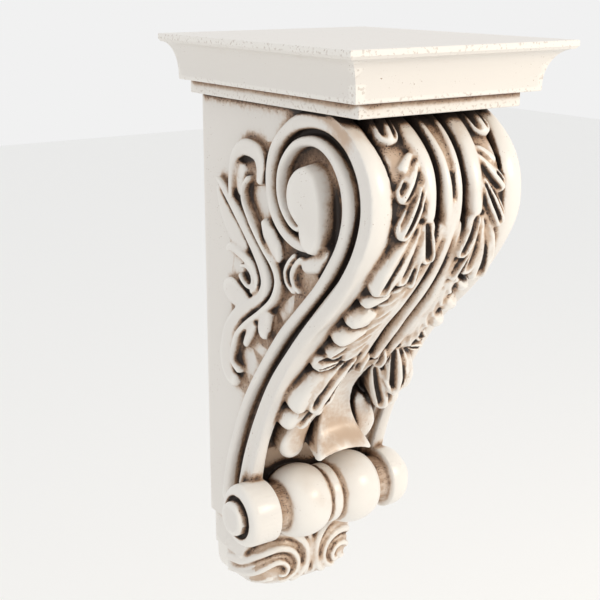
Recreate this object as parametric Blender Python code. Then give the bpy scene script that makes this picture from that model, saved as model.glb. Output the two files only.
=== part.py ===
"""Scrolled wall corbel in moulded polyurethane foam: one casting, one solid.

The wall face lies in the plane Y = 0 and the corbel reaches out along -Y. The origin is the middle of
the wall face. The carving is drawn in parts, 408 of them to the height.
"""

import bmesh
import bpy
import numpy as np

# Driving sizes in metres
HEIGHT = 0.408
SHAFT_WIDTH = 0.116
PANEL_SINK = 0.0056
GROOVE_SINK = 0.0092
FIELD_SINK = 0.0120
RIBBON_WIDTH = 0.020
RIBBON_CROWN = 0.0016
BAND_MARGIN = 0.0032
BAND_REACH = 0.1875
BAND_HEIGHT = 0.0094
COVE_HEIGHT = 0.0264
COVE_INSET = 0.0148
CAP_OVERHANG = 0.0238
LIP_HEIGHT = 0.0040
ROLL_AXIS_REACH = 0.0695
ROLL_AXIS_DROP = 0.3235
BALL_RADIUS = 0.0262
BALL_OFFSET = 0.0215
BALL_HALF_LENGTH = 0.0170
RING_RADIUS = 0.0215
RING_HALF_LENGTH = 0.0040
NECK_RADIUS = 0.0168
NECK_LENGTH = 0.0092
END_RADIUS = 0.0222
DRUM_LENGTH = 0.0248
DRUM_ROUND = 0.0065
BUN_LENGTH = 0.0180
BUN_ROUND = 0.0110
BUTTON_RADIUS = 0.0120
BUTTON_LENGTH = 0.0055
CUP_WIDTH = 0.0030
CUP_DEPTH = 0.0035
DROP_HALF_WIDTH = 0.0470
DROP_REACH = 0.0540
DROP_CENTRE = 0.3760
DROP_RISE = 0.0240
DROP_RELIEF = 0.0025
DROP_SQUARENESS = 3.8
PANEL_FOOT = 0.3490
NECK_REACH = 0.1600
NECK_HEIGHT = 0.0027

# Edges of the cap's hollow, and the softening of the roll's turned edges
LIP_STEP = 0.0016
COVE_TOP = 0.0012
COVE_BASE = 0.0028
SOFT_EDGE = 0.0010

# Height of the cap, and how far the casting runs behind the wall plane before it is cut flat
CAP_HEIGHT = LIP_HEIGHT + COVE_HEIGHT + BAND_HEIGHT
BEHIND = 0.012

# The carving's grid
GRID = 408
PART = HEIGHT / GRID
SHAFT_PARTS = 116
ACROSS = SHAFT_WIDTH / SHAFT_PARTS

# How finely the casting is drawn
STATION_PITCH = 4.0
LEAST_STATIONS = 9
SECTION_POINTS = 13
ROLL_SIDES = 32
BALL_STEPS = 9
END_STEPS = 5
BOSS_SIDES = 32
LEAF_STATIONS = 14
DROP_RINGS = 17
PANEL_STEPS = 14
COVE_STEPS = 6
PROFILE_STEPS = 40
FINE_STEPS = 400
MESH_PITCH = 0.0017
TRIANGLES = 9200

# Front outline of the shaft, from the cap's band down to the roll, as (reach, drop) in parts
SHAFT_PROFILE = [
    (152, 38), (174, 50), (190, 67), (196, 88), (192, 110), (174, 138), (138, 175),
    (103, 219), (80, 261), (66, 298), (60, 326),
]

# Width of the ribbons along the front, as shares of the widest
RIBBON_SHARES = [0.6, 0.58, 0.76, 0.78, 0.83, 0.83, 1, 0.92, 0.66, 0.5, 0.44, 0.5, 0.56]

# Side scroll, as (reach, drop) in parts with half widths
OUTER_BAND = [
    (51, 312), (61, 282), (76, 250), (93, 222), (113, 198), (133, 176), (152, 158), (169, 139),
    (182, 119), (189, 98), (188, 80), (181, 65), (170, 54), (155, 47), (138, 45), (121, 48),
    (107, 55.5), (96, 66), (91, 79), (90.5, 93), (93.5, 104), (101, 113.5), (111, 120), (123, 123),
    (136, 121.5), (146, 115),
]
OUTER_BAND_WIDTH = [4.4, 4.4, 4.4, 4.6, 5, 5.2, 5.2, 5.2, 5, 5.4, 5.4, 4, 3.6, 4, 4.4]
BACK_RIDGE = [
    (28, 330), (35, 300), (45, 273), (56, 250), (69, 229), (86, 206.5), (104, 185), (123, 166.5),
    (142, 148), (156, 131), (166, 115), (171, 98), (169, 82), (161, 69), (150, 61), (137, 58),
    (122, 60.5), (111, 68), (103.5, 79), (102, 92), (106, 102.5), (114.5, 110.5), (123, 113), (129, 109),
]
BACK_RIDGE_WIDTH = [5, 4.5, 4, 4, 4, 4, 4, 4.2, 4.4, 3.6, 3.2, 2.8, 2.4]
EYE = (134, 98)
EYE_OUTLINE = [
    (134, 73.3), (125.5, 76.5), (119, 83), (116.5, 91), (118, 99.5), (124, 106), (130.5, 111), (131, 118),
    (135.5, 124), (142, 124.5), (148, 119), (150.3, 108), (150.3, 97), (148, 86), (143, 77),
]
EYE_SHARES = [1.1, 1.08, 1.03, 1, 0.95, 0.6, 0.03]
EYE_LIFTS = [-8, 0, 7.5, 9.2, 10.3, 11.2, 11.5]
BAND_CREST = 6.2

# Depth of the members' roots under the front, and under the sides and the drop
FRONT_ROOT = 16
SIDE_ROOT = 6
RIBBON_ROOT = 8

# Section of a member: how square and how full it is, how wide its root, how blunt its ends,
# and the shares of its length over which a groove runs in and out
SQUARENESS = 3
FULLNESS = 0.6
ROOT_SHARE = 0.8
BLUNTNESS = 0.97
GROOVE_START = 0.1
GROOVE_END = 0.22

# Flared leaf: bow of its lower edge, height of its rims and their rounding, in parts
LEAF_BOW = 6
LEAF_RIM = 2.4
LEAF_ROUND = 3

# Reach at which the side panels meet the cap, in parts
PANEL_TOP_REACH = 138


def smooth_line(points, count):
    """Draw a smooth curve through a few points, as a count of points evenly spread along it."""
    points = np.asarray(points, float).reshape(len(points), -1)
    ends = (2 * points[0] - points[1], 2 * points[-1] - points[-2])
    padded = np.vstack([ends[0], points, ends[1]])
    at = np.linspace(0, len(points) - 1, FINE_STEPS)
    index = np.clip(at.astype(int), 0, len(points) - 2)
    t = (at - index)[:, None]
    a, b, c, d = (padded[index + k] for k in range(4))
    curve = 0.5 * (2 * b + (c - a) * t + (2 * a - 5 * b + 4 * c - d) * t**2 + (3 * b - a - 3 * c + d) * t**3)
    length = np.r_[0, np.cumsum(np.linalg.norm(np.diff(curve, axis=0), axis=1))]
    even = np.linspace(0, length[-1], count)
    return np.stack([np.interp(even, length, axis) for axis in curve.T], 1)


def spread(values, count):
    """Spread one value, or a few, over a count of stations."""
    values = np.atleast_1d(np.asarray(values, float))
    return np.interp(np.linspace(0, 1, count), np.linspace(0, 1, len(values)), values)


def normals_of(line):
    """Unit normals to the left of a plane line's direction."""
    tangent = np.gradient(line, axis=0)
    tangent /= np.linalg.norm(tangent, axis=1)[:, None]
    return np.stack([tangent[:, 1], -tangent[:, 0]], 1)


PROFILE = smooth_line(SHAFT_PROFILE, FINE_STEPS)
PROFILE_NORMALS = normals_of(PROFILE)
PROFILE_LENGTHS = np.r_[0, np.cumsum(np.linalg.norm(np.diff(PROFILE, axis=0), axis=1))]


def in_space(x, reach, drop):
    """Place points by their distance across, from the wall and below the cap's top."""
    return np.stack([x, -reach, HEIGHT / 2 - drop], -1)


def on_front(across, along, lift):
    """A point on the shaft's curved front, along it from the cap's band, lifted off it, in parts."""
    reach, drop, out, down = (
        np.interp(along, PROFILE_LENGTHS, values)
        for values in (*PROFILE.T, *PROFILE_NORMALS.T)
    )
    return in_space(across * ACROSS, (reach + out * lift) * PART, (drop + down * lift) * PART)


def on_side(reach, drop, lift):
    """A point on the side panel, lifted off it, in parts."""
    x = SHAFT_WIDTH / 2 - PANEL_SINK + lift * PART
    return in_space(x, reach * PART, drop * PART)


def on_drop(across, drop, lift):
    """A point on the rounded drop under the roll, lifted off it, in parts."""
    power = DROP_SQUARENESS
    depth = np.where(drop * PART > DROP_CENTRE, HEIGHT - DROP_CENTRE - DROP_RELIEF, DROP_RISE)
    sizes = np.stack([np.full_like(depth, DROP_HALF_WIDTH), np.full_like(depth, DROP_REACH), depth], -1)
    x = across * ACROSS / DROP_HALF_WIDTH
    z = (drop * PART - DROP_CENTRE) / depth
    y = np.clip(1 - np.abs(x) ** power - np.abs(z) ** power, 0.01, 1) ** (1 / power)
    place = np.stack([x, y, z], -1)
    out = np.sign(place) * np.abs(place) ** (power - 1) / sizes
    out /= np.linalg.norm(out, axis=-1)[..., None]
    place = place * sizes + out * (lift * PART)[..., None]
    return in_space(place[..., 0], place[..., 1], DROP_CENTRE + place[..., 2])


def loft(rings):
    """Close a row of rings of points into one body."""
    count, size = rings.shape[:2]
    faces = [tuple(range(size - 1, -1, -1)), tuple(range((count - 1) * size, count * size))]
    for i in range(count - 1):
        for j in range(size):
            k = (j + 1) % size
            faces.append((i * size + j, i * size + k, (i + 1) * size + k, (i + 1) * size + j))
    return rings.reshape(-1, 3), faces


def member(surface, root, path, width, crest, edge, grooves=0, depth=0.5):
    """A carved ridge, lobe or stem that follows a path on a surface, with round ends."""
    fine = smooth_line(path, FINE_STEPS)
    length = np.linalg.norm(np.diff(fine, axis=0), axis=1).sum()
    stations = max(LEAST_STATIONS, int(length / STATION_PITCH))
    line = smooth_line(path, stations)
    share = np.linspace(0, 1, stations)
    width, crest, edge = (spread(v, stations) for v in (width, crest, edge))
    near = np.clip(1 - np.minimum(share, 1 - share) * length / width, 0, BLUNTNESS)
    ends = np.sqrt(1 - near**2)
    t = np.linspace(-1, 1, SECTION_POINTS)
    rounded = (1 - np.abs(t) ** SQUARENESS) ** FULLNESS
    groove = (0.5 - 0.5 * np.cos(np.pi * grooves * (t + 1))) ** 2
    held = np.clip(np.minimum(share / GROOVE_START, (1 - share) / GROOVE_END), 0, 1)
    cut = depth * (held * held * (3 - 2 * held))[:, None] * groove
    lift = edge[:, None] + (crest - edge)[:, None] * np.sqrt(ends)[:, None] * rounded * (1 - cut)
    foot = t[::-1][1:-1:3] * ROOT_SHARE
    below = np.full((stations, len(foot)), -float(root))
    reach = (width * ends)[:, None] * np.r_[t, foot]
    flat = line[:, None, :] + normals_of(line)[:, None, :] * reach[:, :, None]
    return loft(surface(flat[..., 0], flat[..., 1], np.hstack([lift, below])))


def front_lobe(*shape):
    """A member on the front."""
    return member(on_front, FRONT_ROOT, *shape)


def side_lobe(*shape):
    """A member on the side panel."""
    return member(on_side, SIDE_ROOT, *shape)


def drop_lobe(*shape):
    """A member on the drop."""
    return member(on_drop, SIDE_ROOT, *shape)


def mirrored(body):
    """The same body on the other side of the middle."""
    points, faces = body
    return points * (-1, 1, 1), [face[::-1] for face in faces]


def both(*bodies):
    """Each body with its mirror image."""
    return [copy for body in bodies for copy in (body, mirrored(body))]


def ribbons():
    """The two plain convex ribbons that edge the front, slimmer beside the lowest leaves."""
    widest = RIBBON_WIDTH / ACROSS
    crown = RIBBON_CROWN / PART
    t = np.linspace(-1, 1, SECTION_POINTS)
    core_half = SHAFT_PARTS / 2 - GROOVE_SINK / PART
    rings = []
    shares = spread(RIBBON_SHARES, PROFILE_STEPS)
    for along, share in zip(np.linspace(0, PROFILE_LENGTHS[-1], PROFILE_STEPS), shares):
        half = widest * share / 2
        middle = SHAFT_PARTS / 2 - half
        inner = middle - ROOT_SHARE * half
        step = max(core_half, middle - ROOT_SHARE**2 * half)
        deep = FRONT_ROOT if inner < core_half else RIBBON_ROOT
        across = np.r_[middle + half * t, middle + ROOT_SHARE * half, step, step, inner]
        lift = np.r_[crown * (1 - t**2), -RIBBON_ROOT, -RIBBON_ROOT, -deep, -deep]
        rings.append(on_front(across, np.full(len(across), along), lift))
    return both(loft(np.array(rings)))


def boss(outline, centre, shares, lifts):
    """A raised boss on the side panel with a closed outline and a softened edge."""
    closed = smooth_line([*outline, outline[0]], BOSS_SIDES + 1)[:-1]
    centre = np.array(centre)
    rings = []
    for share, lift in zip(shares, lifts):
        reach, drop = (centre + (closed - centre) * share).T
        rings.append(on_side(reach, drop, np.full(len(reach), lift)))
    return loft(np.array(rings))


def side_scrolls():
    """The double band that winds up each side and round the eye."""
    lift = BAND_CREST
    return both(
        side_lobe(OUTER_BAND, OUTER_BAND_WIDTH, [lift, lift, lift, lift + 1], 2.5),
        side_lobe(BACK_RIDGE, BACK_RIDGE_WIDTH, [lift, lift, lift, lift, lift + 1], 1.5),
        boss(EYE_OUTLINE, EYE, EYE_SHARES, EYE_LIFTS),
        side_lobe([(121, 138), (138, 132), (152, 122)], [5, 7.5, 5], [3, 4.5, 3.5], -2),
        side_lobe([(118, 130), (110.5, 137), (106.5, 144.5), (109, 151), (117, 156)], [1.5, 2, 2.2, 2, 1.5],
                  5, 2),
        side_lobe([(124.5, 131), (116.5, 138), (113, 145), (115.5, 151), (122, 155)],
                  [1.5, 2.4, 2.6, 2, 1.5], 4.5, 1),
    )


def side_leaves():
    """The leaf spray on each side panel, behind the scroll."""
    loop = [(44, 106), (45, 90), (49, 77.5), (57.5, 71), (67, 70), (77, 73), (81, 81), (79, 92)]
    stem = [(24, 94), (38, 104), (52, 115.5), (65, 127), (76, 138), (83, 148), (85, 157), (79, 167),
            (66, 175), (52, 184), (40, 197), (35, 211), (34, 222), (39, 231), (48, 235)]
    rim = [(67, 88), (60.5, 96), (61, 105), (68, 115), (77, 124), (87, 133), (96, 140), (101, 147),
           (101, 155), (95, 165), (81, 176), (63, 188), (50, 199), (44, 211), (43, 220), (52, 226)]
    curl = [(36, 143), (41, 139.5), (50, 140.5), (60, 143.5), (69, 148), (74, 154.5), (73, 161.5), (66, 166)]
    eyelet = [(53, 150.5), (61, 149), (68, 152.5), (69.5, 158.5), (65, 162.5), (58, 160.5), (52, 155.5)]
    return both(
        side_lobe([(52, 80), (52, 92), (54, 104)], [8, 8, 5], [4, 4, 3.6], 1),
        side_lobe(loop, [1.8, 2.2, 3, 4.6, 5.6, 5.6, 4.6, 2.4], 7, 4.5),
        side_lobe(stem, [1.5, 3.4, 4, 4.4, 4.6, 4.8, 5, 5, 5.2, 6, 7, 8, 8.6, 8, 5],
                  [5.5, 6.6, 7, 7, 7, 7, 7], [3, 3.4, 3, 3]),
        side_lobe(rim, [1.6, 2.2, 2.4, 2.4, 2.2], [7, 8.4, 8.6, 8, 6.5], [4, 5, 5, 4]),
        side_lobe([(25, 99), (32, 114), (45, 129), (60, 140)], [2, 7, 9, 4], [5, 5, 4], 2),
        side_lobe([(84, 113), (88, 121), (95, 130), (101, 139)], [2, 6.5, 6.5, 3], [7.5, 6.8, 6], 3),
        side_lobe(curl, [2.4, 3.6, 3.8, 3.6, 3.4, 3.2, 3, 2.2], [5.4, 6.4, 6.8, 6.6, 6], 3),
        side_lobe(eyelet, [1.6, 1.9, 2, 1.9, 1.7], 6, 3),
        side_lobe([(31, 166), (38, 169), (50, 173), (66, 176)], [7, 9.2, 8, 5], [5.6, 5.8, 5.4], 3.4),
        side_lobe([(88, 172), (83, 181), (81, 189), (84, 194)], [4, 6.5, 7, 5], [7, 6.5, 6], 3),
        side_lobe([(72, 184.5), (63, 196), (56.5, 206)], [3, 4, 2.4], [6.5, 6, 5], 3),
    )


def front_stems():
    """The bed under the leaves, the middle stem, the ribs beside it and the ridges that follow it."""
    bed = [(0, 8), (0, 80), (0, 150), (0, 210), (0, 290)]
    stem = [(0, 70), (0, 105), (0, 140), (0, 175), (0, 210)]
    return [
        front_lobe(bed, [30, 27, 27, 29, 16], [-7, -7, 1, 3, -9], [-11, -11, -8, -6, -12]),
        front_lobe([(0, 2), (0, 28), (0, 58)], [7.5, 6.5, 3], [1.2, 2, 3], -2),
        front_lobe(stem, [5, 4.6, 4.2, 3.8, 3.4], [4.5, 6.5, 10, 13, 13], [0, 1, 4, 7, 8]),
    ] + both(
        front_lobe([(31, 2), (32, 40), (31, 90), (30, 140)], [10, 10, 11, 11], [0, 0.5, 1, 4],
                   [-3, -3, -2, 0]),
        front_lobe([(6.4, 2), (5.8, 28), (4.2, 56), (3, 96)], [2.6, 3.2, 4, 3.4], [3, 4.4, 5, 5], -1),
        front_lobe([(6, 84), (9.5, 112), (13, 145), (14, 178), (11, 212)], [3, 4.6, 5, 4.6, 3.6],
                   [4, 7, 11, 12.5, 12], [-1, 1, 4, 6, 7]),
        front_lobe([(21.5, 2), (19.5, 30), (18, 56), (18.5, 84)], [8, 7.6, 6.8, 5], [3.6, 4.6, 5.4, 6], -1),
        front_lobe([(19, 80), (14.5, 85), (12.5, 93), (10, 105)], [3, 1.7, 1.5, 1.3], [5.5, 5, 4, 3], -2),
    )


def upper_leaves():
    """The acanthus lobes of the first tier of each half, from the cap to the eyelets."""
    return both(
        front_lobe([(31.5, 3), (34, 18), (36.5, 37)], [5.5, 7.5, 8], [4.5, 7.5, 7], [1, 2.5, 2.5], 2, 0.9),
        front_lobe([(24, 43), (30, 48), (36, 55)], [3, 4, 5], [4, 4.6, 5.2], -3),
        front_lobe([(22, 48), (28, 54), (35, 61)], [2, 2.6, 2.2], [4.5, 5, 5], -2),
        front_lobe([(23, 50), (31, 60), (40, 70)], [3.5, 6.4, 6], [4.5, 6, 6.6], [-1, 0, 1], 2, 0.85),
        front_lobe([(22, 61), (29, 75), (39, 90)], [4, 7.2, 6.6], [5, 7, 9], [0, 1, 3], 3, 0.85),
        front_lobe([(28, 88), (35, 96)], [4, 6], [2, 0.5], -4),
    )


def middle_leaves():
    """The acanthus lobes of the second tier, fanned below the eyelets, and the knobs beside the stem."""
    return both(
        front_lobe([(20, 80), (16.5, 94), (12, 108)], [3, 5.4, 5.6], [5, 9.5, 12], [-1, 2, 5], 1, 1),
        front_lobe([(21.5, 82), (19.5, 104), (16, 127)], [2.5, 4.6, 5], [5, 9, 11.5], [-1, 2, 5], 2, 0.85),
        front_lobe([(23, 82), (24.5, 102), (26, 124)], [2.5, 4.6, 5.4], [5, 9, 11.5], [-1, 2, 5], 1, 0.6),
        front_lobe([(24, 82), (31, 98), (36, 114), (38, 131)], [3.5, 8, 9.6, 8], [5, 8.5, 11, 12],
                   [-1, 1, 3, 4.5], 1, 0.6),
        front_lobe([(19, 124), (21, 150), (23, 178), (24, 207)], [7, 9.5, 10, 7], [8, 10.5, 12, 12],
                   [1, 3, 4, 4]),
        front_lobe([(27, 132), (34, 138), (41, 144)], [3.5, 5, 4.6], [8, 9.5, 9], 2),
        front_lobe([(27, 148), (34, 156), (42, 164)], [4.5, 6.6, 6], [10.5, 12.5, 12], 3),
        front_lobe([(27, 166), (34, 175), (42, 184)], [4.5, 7, 6.4], [12, 13.5, 13], 4),
        front_lobe([(27, 187), (33, 195), (39, 202)], [3.5, 5, 4.6], [12, 13, 12], 4, 1, 0.6),
    )


def flared_leaf():
    """The hollow middle leaf, which flares out over the roll to two points."""
    rows = smooth_line([(214, 6, 10), (238, 9, 3), (257, 10.5, -1), (273, 12.5, 1), (285, 16.5, 9),
                        (293, 21, 19), (297.5, 23, 24), (299.5, 22.6, 22.5), (300, 21.8, 19)],
                       LEAF_STATIONS)
    t = np.linspace(-1, 1, SECTION_POINTS)
    back = t[::-1][1:-1:3] * ROOT_SHARE
    rings = []
    for share, (along, half, lift) in zip(np.linspace(0, 1, len(rows)), rows):
        arch = LEAF_BOW * share**4 * (1 - t**2)
        raised = LEAF_RIM * np.abs(t) ** 6 - LEAF_ROUND * np.clip(np.abs(t) * 10 - 9, 0, 1) ** 2
        across = np.r_[half * t, half * back]
        lifts = np.r_[lift + raised, np.full(len(back), -FRONT_ROOT)]
        rings.append(on_front(across, np.r_[along - arch, np.full(len(back), along)], lifts))
    return [loft(np.array(rings))]


def lower_leaves():
    """The round and slotted lobes and the curls of the last tier, above the roll."""
    return both(
        front_lobe([(27, 207), (37, 209), (44, 214)], [4.5, 7, 6.4], [11, 12, 11], [3, 3, 3], 3, 0.8),
        front_lobe([(25, 212), (36, 227), (43, 243), (43, 256)], [4, 6.6, 7, 6.4], [10, 13, 15, 15],
                   [2, 4, 6, 7]),
        front_lobe([(16, 202), (24, 218), (31, 237), (34, 254)], [3.4, 8, 10, 7], [12, 16, 19, 19.5],
                   [6, 9, 12, 14], 2, 0.95),
        front_lobe([(24, 240), (35, 254), (42, 266), (43, 276)], [3.5, 6.4, 7, 6.6], [7, 10.5, 12, 11],
                   [2, 3, 3, 3]),
        front_lobe([(14, 226), (24, 246), (32, 262), (36, 275)], [4, 7.6, 8.8, 6.4], [8, 12.5, 14.5, 13.5],
                   [3, 6, 8, 8], 2, 0.95),
        front_lobe([(20, 268), (27, 285), (30, 298), (27, 310)], [4, 8, 10.5, 8.6], [1, 4, 6, 6],
                   [-2, 0, 2, 2]),
        front_lobe([(6, 203), (9, 212), (8, 222)], [4, 5.6, 5], [13, 15, 15], 8, 2, 0.7),
    )


def roll_end(length, rounding):
    """Outline of one end of the roll, as (x, radius): rounded, with a button in a shallow cup."""
    start = BALL_OFFSET + BALL_HALF_LENGTH + NECK_LENGTH
    end = start + length
    cup = BUTTON_RADIUS + CUP_WIDTH
    across = min(rounding, END_RADIUS - cup)
    outline = [(start, NECK_RADIUS), (start + SOFT_EDGE, END_RADIUS - SOFT_EDGE)]
    outline += [
        (end - rounding * (1 - np.sin(a)), END_RADIUS - across * (1 - np.cos(a)))
        for a in np.linspace(0, np.pi / 2, END_STEPS)
    ]
    outline += [(end - CUP_DEPTH, cup - SOFT_EDGE), (end - CUP_DEPTH, BUTTON_RADIUS)]
    tip = end + BUTTON_LENGTH
    return outline + [(tip - SOFT_EDGE, BUTTON_RADIUS), (tip, BUTTON_RADIUS - 2 * SOFT_EDGE)]


def roll():
    """The turned roll at the foot: two balls and a ring, a drum at the left and a bun at the right."""
    middle = [(0, RING_RADIUS), (RING_HALF_LENGTH - SOFT_EDGE, RING_RADIUS),
              (RING_HALF_LENGTH, RING_RADIUS - SOFT_EDGE)]
    middle += [
        (BALL_OFFSET + BALL_HALF_LENGTH * t, NECK_RADIUS + (BALL_RADIUS - NECK_RADIUS) * np.sqrt(1 - t * t))
        for t in -np.cos(np.linspace(0, np.pi, BALL_STEPS))
    ]
    left = middle + roll_end(DRUM_LENGTH, DRUM_ROUND)
    right = middle + roll_end(BUN_LENGTH, BUN_ROUND)
    outline = [(-x, r) for x, r in left[:0:-1]] + right
    angle = np.linspace(0, 2 * np.pi, ROLL_SIDES, endpoint=False)
    rings = []
    for x, r in outline:
        reach, down = ROLL_AXIS_REACH + r * np.cos(angle), ROLL_AXIS_DROP - r * np.sin(angle)
        rings.append(in_space(np.full(ROLL_SIDES, x), reach, down))
    return [loft(np.array(rings))]


def drop():
    """The rounded leaf drop under the roll, with a scroll on each half."""
    power = 2 / DROP_SQUARENESS
    turns = np.linspace(-np.pi / 2, np.pi / 2, DROP_RINGS)[1:-1]
    angle = np.linspace(0, 2 * np.pi, ROLL_SIDES, endpoint=False)
    cosine, sine = (np.sign(v) * np.abs(v) ** power for v in (np.cos(angle), np.sin(angle)))
    depth = np.where(sine > 0, HEIGHT - DROP_CENTRE - DROP_RELIEF, DROP_RISE)
    rings = []
    for turn in turns:
        wide = np.sign(turn) * np.abs(np.sin(turn)) ** power * DROP_HALF_WIDTH
        girth = np.cos(turn) ** power
        reach, down = girth * cosine * DROP_REACH, DROP_CENTRE + girth * sine * depth
        rings.append(in_space(np.full(ROLL_SIDES, wide), reach, down))
    outer = [(49, 374), (42, 363), (29, 358), (15, 360), (6, 368), (4, 380), (8, 391), (16, 398)]
    second = [(49, 386), (42, 375), (31, 368), (20, 369), (13, 376), (12, 386), (19, 394), (26, 396)]
    third = [(48, 395), (40, 386), (31, 379), (24, 379), (20, 384), (22, 389), (27, 388.5)]
    return [loft(np.array(rings))] + both(
        drop_lobe(outer, [3, 3.6, 3.6, 3.2], [3, 4.5, 4, 2], -2),
        drop_lobe(second, [2.6, 3.2, 3.2, 2.6], [2.5, 4, 3, 1.6], -2),
        drop_lobe(third, [2.4, 2.8, 2.4], [2, 3.5, 2.5], -2),
        drop_lobe([(42, 398), (35, 393), (29, 392)], 2.2, [1, 2, 1], -2),
        drop_lobe([(0.5, 356), (0.8, 374), (4, 396)], [2.4, 2.8, 2.2], [1, 3, 1.5], -2),
    )


def joined_mesh(name, bodies):
    """One mesh that holds several closed bodies."""
    points, faces, start = [], [], 0
    for body_points, body_faces in bodies:
        points.append(body_points)
        faces += [tuple(start + i for i in face) for face in body_faces]
        start += len(body_points)
    mesh = bpy.data.meshes.new(name)
    mesh.from_pydata(np.vstack(points).tolist(), [], faces)
    edit = bmesh.new()
    edit.from_mesh(mesh)
    bmesh.ops.recalc_face_normals(edit, faces=edit.faces)
    edit.to_mesh(mesh)
    edit.free()
    return mesh


def extruded(outline, half_width):
    """A flat slab with a (reach, drop) outline in metres, as wide as twice the half width."""
    outline = np.asarray(outline, float)
    rings = [in_space(np.full(len(outline), x), *outline.T) for x in (-half_width, half_width)]
    return loft(np.array(rings))


def core():
    """The shaft behind the carving, narrowed to the floor of the scroll's grooves."""
    line = smooth_line(SHAFT_PROFILE, PROFILE_STEPS) * PART
    front = line - normals_of(line) * FIELD_SINK
    neck = [(NECK_REACH, LIP_HEIGHT), (NECK_REACH, CAP_HEIGHT + NECK_HEIGHT)]
    foot = [(ROLL_AXIS_REACH, ROLL_AXIS_DROP), (ROLL_AXIS_REACH / 2, DROP_CENTRE), (-BEHIND, DROP_CENTRE)]
    return extruded([(-BEHIND, LIP_HEIGHT), *neck, *front, *foot], SHAFT_WIDTH / 2 - GROOVE_SINK)


def panels():
    """The flat side panels behind the scroll, from the wall to its bands."""
    ridge = smooth_line(BACK_RIDGE[:9], PANEL_STEPS)
    around = smooth_line(OUTER_BAND[13:24], PANEL_STEPS)[::-1]
    edge = np.vstack([ridge, around, [(PANEL_TOP_REACH, LIP_HEIGHT / PART)]]) * PART
    back = [(-BEHIND, LIP_HEIGHT), (-BEHIND, PANEL_FOOT), (edge[0][0], PANEL_FOOT)]
    return extruded([*edge, *back], SHAFT_WIDTH / 2 - PANEL_SINK)


def cap():
    """The square cap: a lip, a hollow cove and a narrow band, flush with the wall at the back."""
    half = SHAFT_WIDTH / 2 + BAND_MARGIN
    turn = np.linspace(0, np.pi / 2, COVE_STEPS)
    steps = [(CAP_OVERHANG, 0), (CAP_OVERHANG, LIP_HEIGHT)]
    start = CAP_OVERHANG - LIP_STEP
    rise = COVE_HEIGHT - COVE_TOP - COVE_BASE
    foot = CAP_OVERHANG - COVE_INSET
    steps += [
        (start - (start - foot) * np.sin(a), LIP_HEIGHT + COVE_TOP + rise * (1 - np.cos(a)))
        for a in turn
    ]
    steps += [(foot, LIP_HEIGHT + COVE_HEIGHT), (0, LIP_HEIGHT + COVE_HEIGHT)]
    steps += [(0, CAP_HEIGHT)]
    rings = []
    for out, down in steps:
        x = half + out
        reach = BAND_REACH + out
        corners = np.array([(-x, 0), (-x, reach), (x, reach), (x, 0)])
        rings.append(in_space(corners[:, 0], corners[:, 1], np.full(4, down)))
    return loft(np.array(rings))


def wall_block():
    """What lies behind the wall plane and is cut away."""
    size = HEIGHT
    outline = [(0, -size), (0, 2 * size), (-size, 2 * size), (-size, -size)]
    return extruded(outline, size)


def paint():
    """Satin cream paint over foam."""
    material = bpy.data.materials.new("cream_paint")
    material.use_nodes = True
    shader = material.node_tree.nodes["Principled BSDF"]
    shader.inputs["Base Color"].default_value = (0.77, 0.735, 0.69, 1)
    shader.inputs["Roughness"].default_value = 0.42
    shader.inputs["Metallic"].default_value = 0.0
    return material


def placed(name, mesh):
    """Add a mesh to the scene as a named object."""
    item = bpy.data.objects.new(name, mesh)
    bpy.context.scene.collection.objects.link(item)
    return item


def guide(name, body):
    """A helper solid that the casting is joined to or cut by."""
    item = placed(name, joined_mesh(name, [body]))
    item.hide_render = True
    item.display_type = "WIRE"
    return item


def keep_largest(mesh):
    """Delete every region of a mesh that the largest one isn't joined to."""
    edit = bmesh.new()
    edit.from_mesh(mesh)
    waiting = set(edit.faces)
    regions = []
    while waiting:
        reached = [waiting.pop()]
        for face in reached:
            beside = {other for edge in face.edges for other in edge.link_faces} & waiting
            waiting -= beside
            reached.extend(beside)
        regions.append(reached)
    regions.sort(key=len)
    bmesh.ops.delete(edit, geom=[face for region in regions[:-1] for face in region], context="FACES")
    edit.to_mesh(mesh)
    edit.free()


def fused(item):
    """Melt an object's overlapping bodies into one skin, as a mould's cavity is one surface."""
    fuse = item.modifiers.new("fuse", "REMESH")
    fuse.mode = "VOXEL"
    fuse.voxel_size = MESH_PITCH
    seen = item.evaluated_get(bpy.context.evaluated_depsgraph_get())
    skin = bpy.data.meshes.new_from_object(seen)
    keep_largest(skin)
    item.modifiers.clear()
    item.data = skin


def corbel():
    """The whole casting: the carving fused into one skin, joined to its crisp cap."""
    carving = [core(), panels()] + ribbons() + side_scrolls() + side_leaves() + front_stems()
    carving += upper_leaves() + middle_leaves() + lower_leaves() + flared_leaf() + roll() + drop()
    item = placed("corbel", joined_mesh("corbel", carving))
    fused(item)
    thin = item.modifiers.new("thin", "DECIMATE")
    thin.ratio = TRIANGLES / sum(len(face.vertices) - 2 for face in item.data.polygons)
    joints = [("cap", cap(), "UNION"), ("wall", wall_block(), "DIFFERENCE")]
    for name, body, operation in joints:
        step = item.modifiers.new(name, "BOOLEAN")
        step.operation = operation
        step.solver = "EXACT"
        step.object = guide(name, body)
    item.data.materials.append(paint())
    return item


def main():
    """Clear the scene and build the corbel."""
    for item in list(bpy.data.objects):
        bpy.data.objects.remove(item, do_unlink=True)
    corbel()


main()
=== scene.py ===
from contextlib import contextmanager

import bmesh
import bpy
import numpy as np
from bpy.props import FloatProperty, FloatVectorProperty, IntProperty, PointerProperty
from bpy.types import Operator, Panel, PropertyGroup
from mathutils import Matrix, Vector
from mathutils.bvhtree import BVHTree


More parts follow.
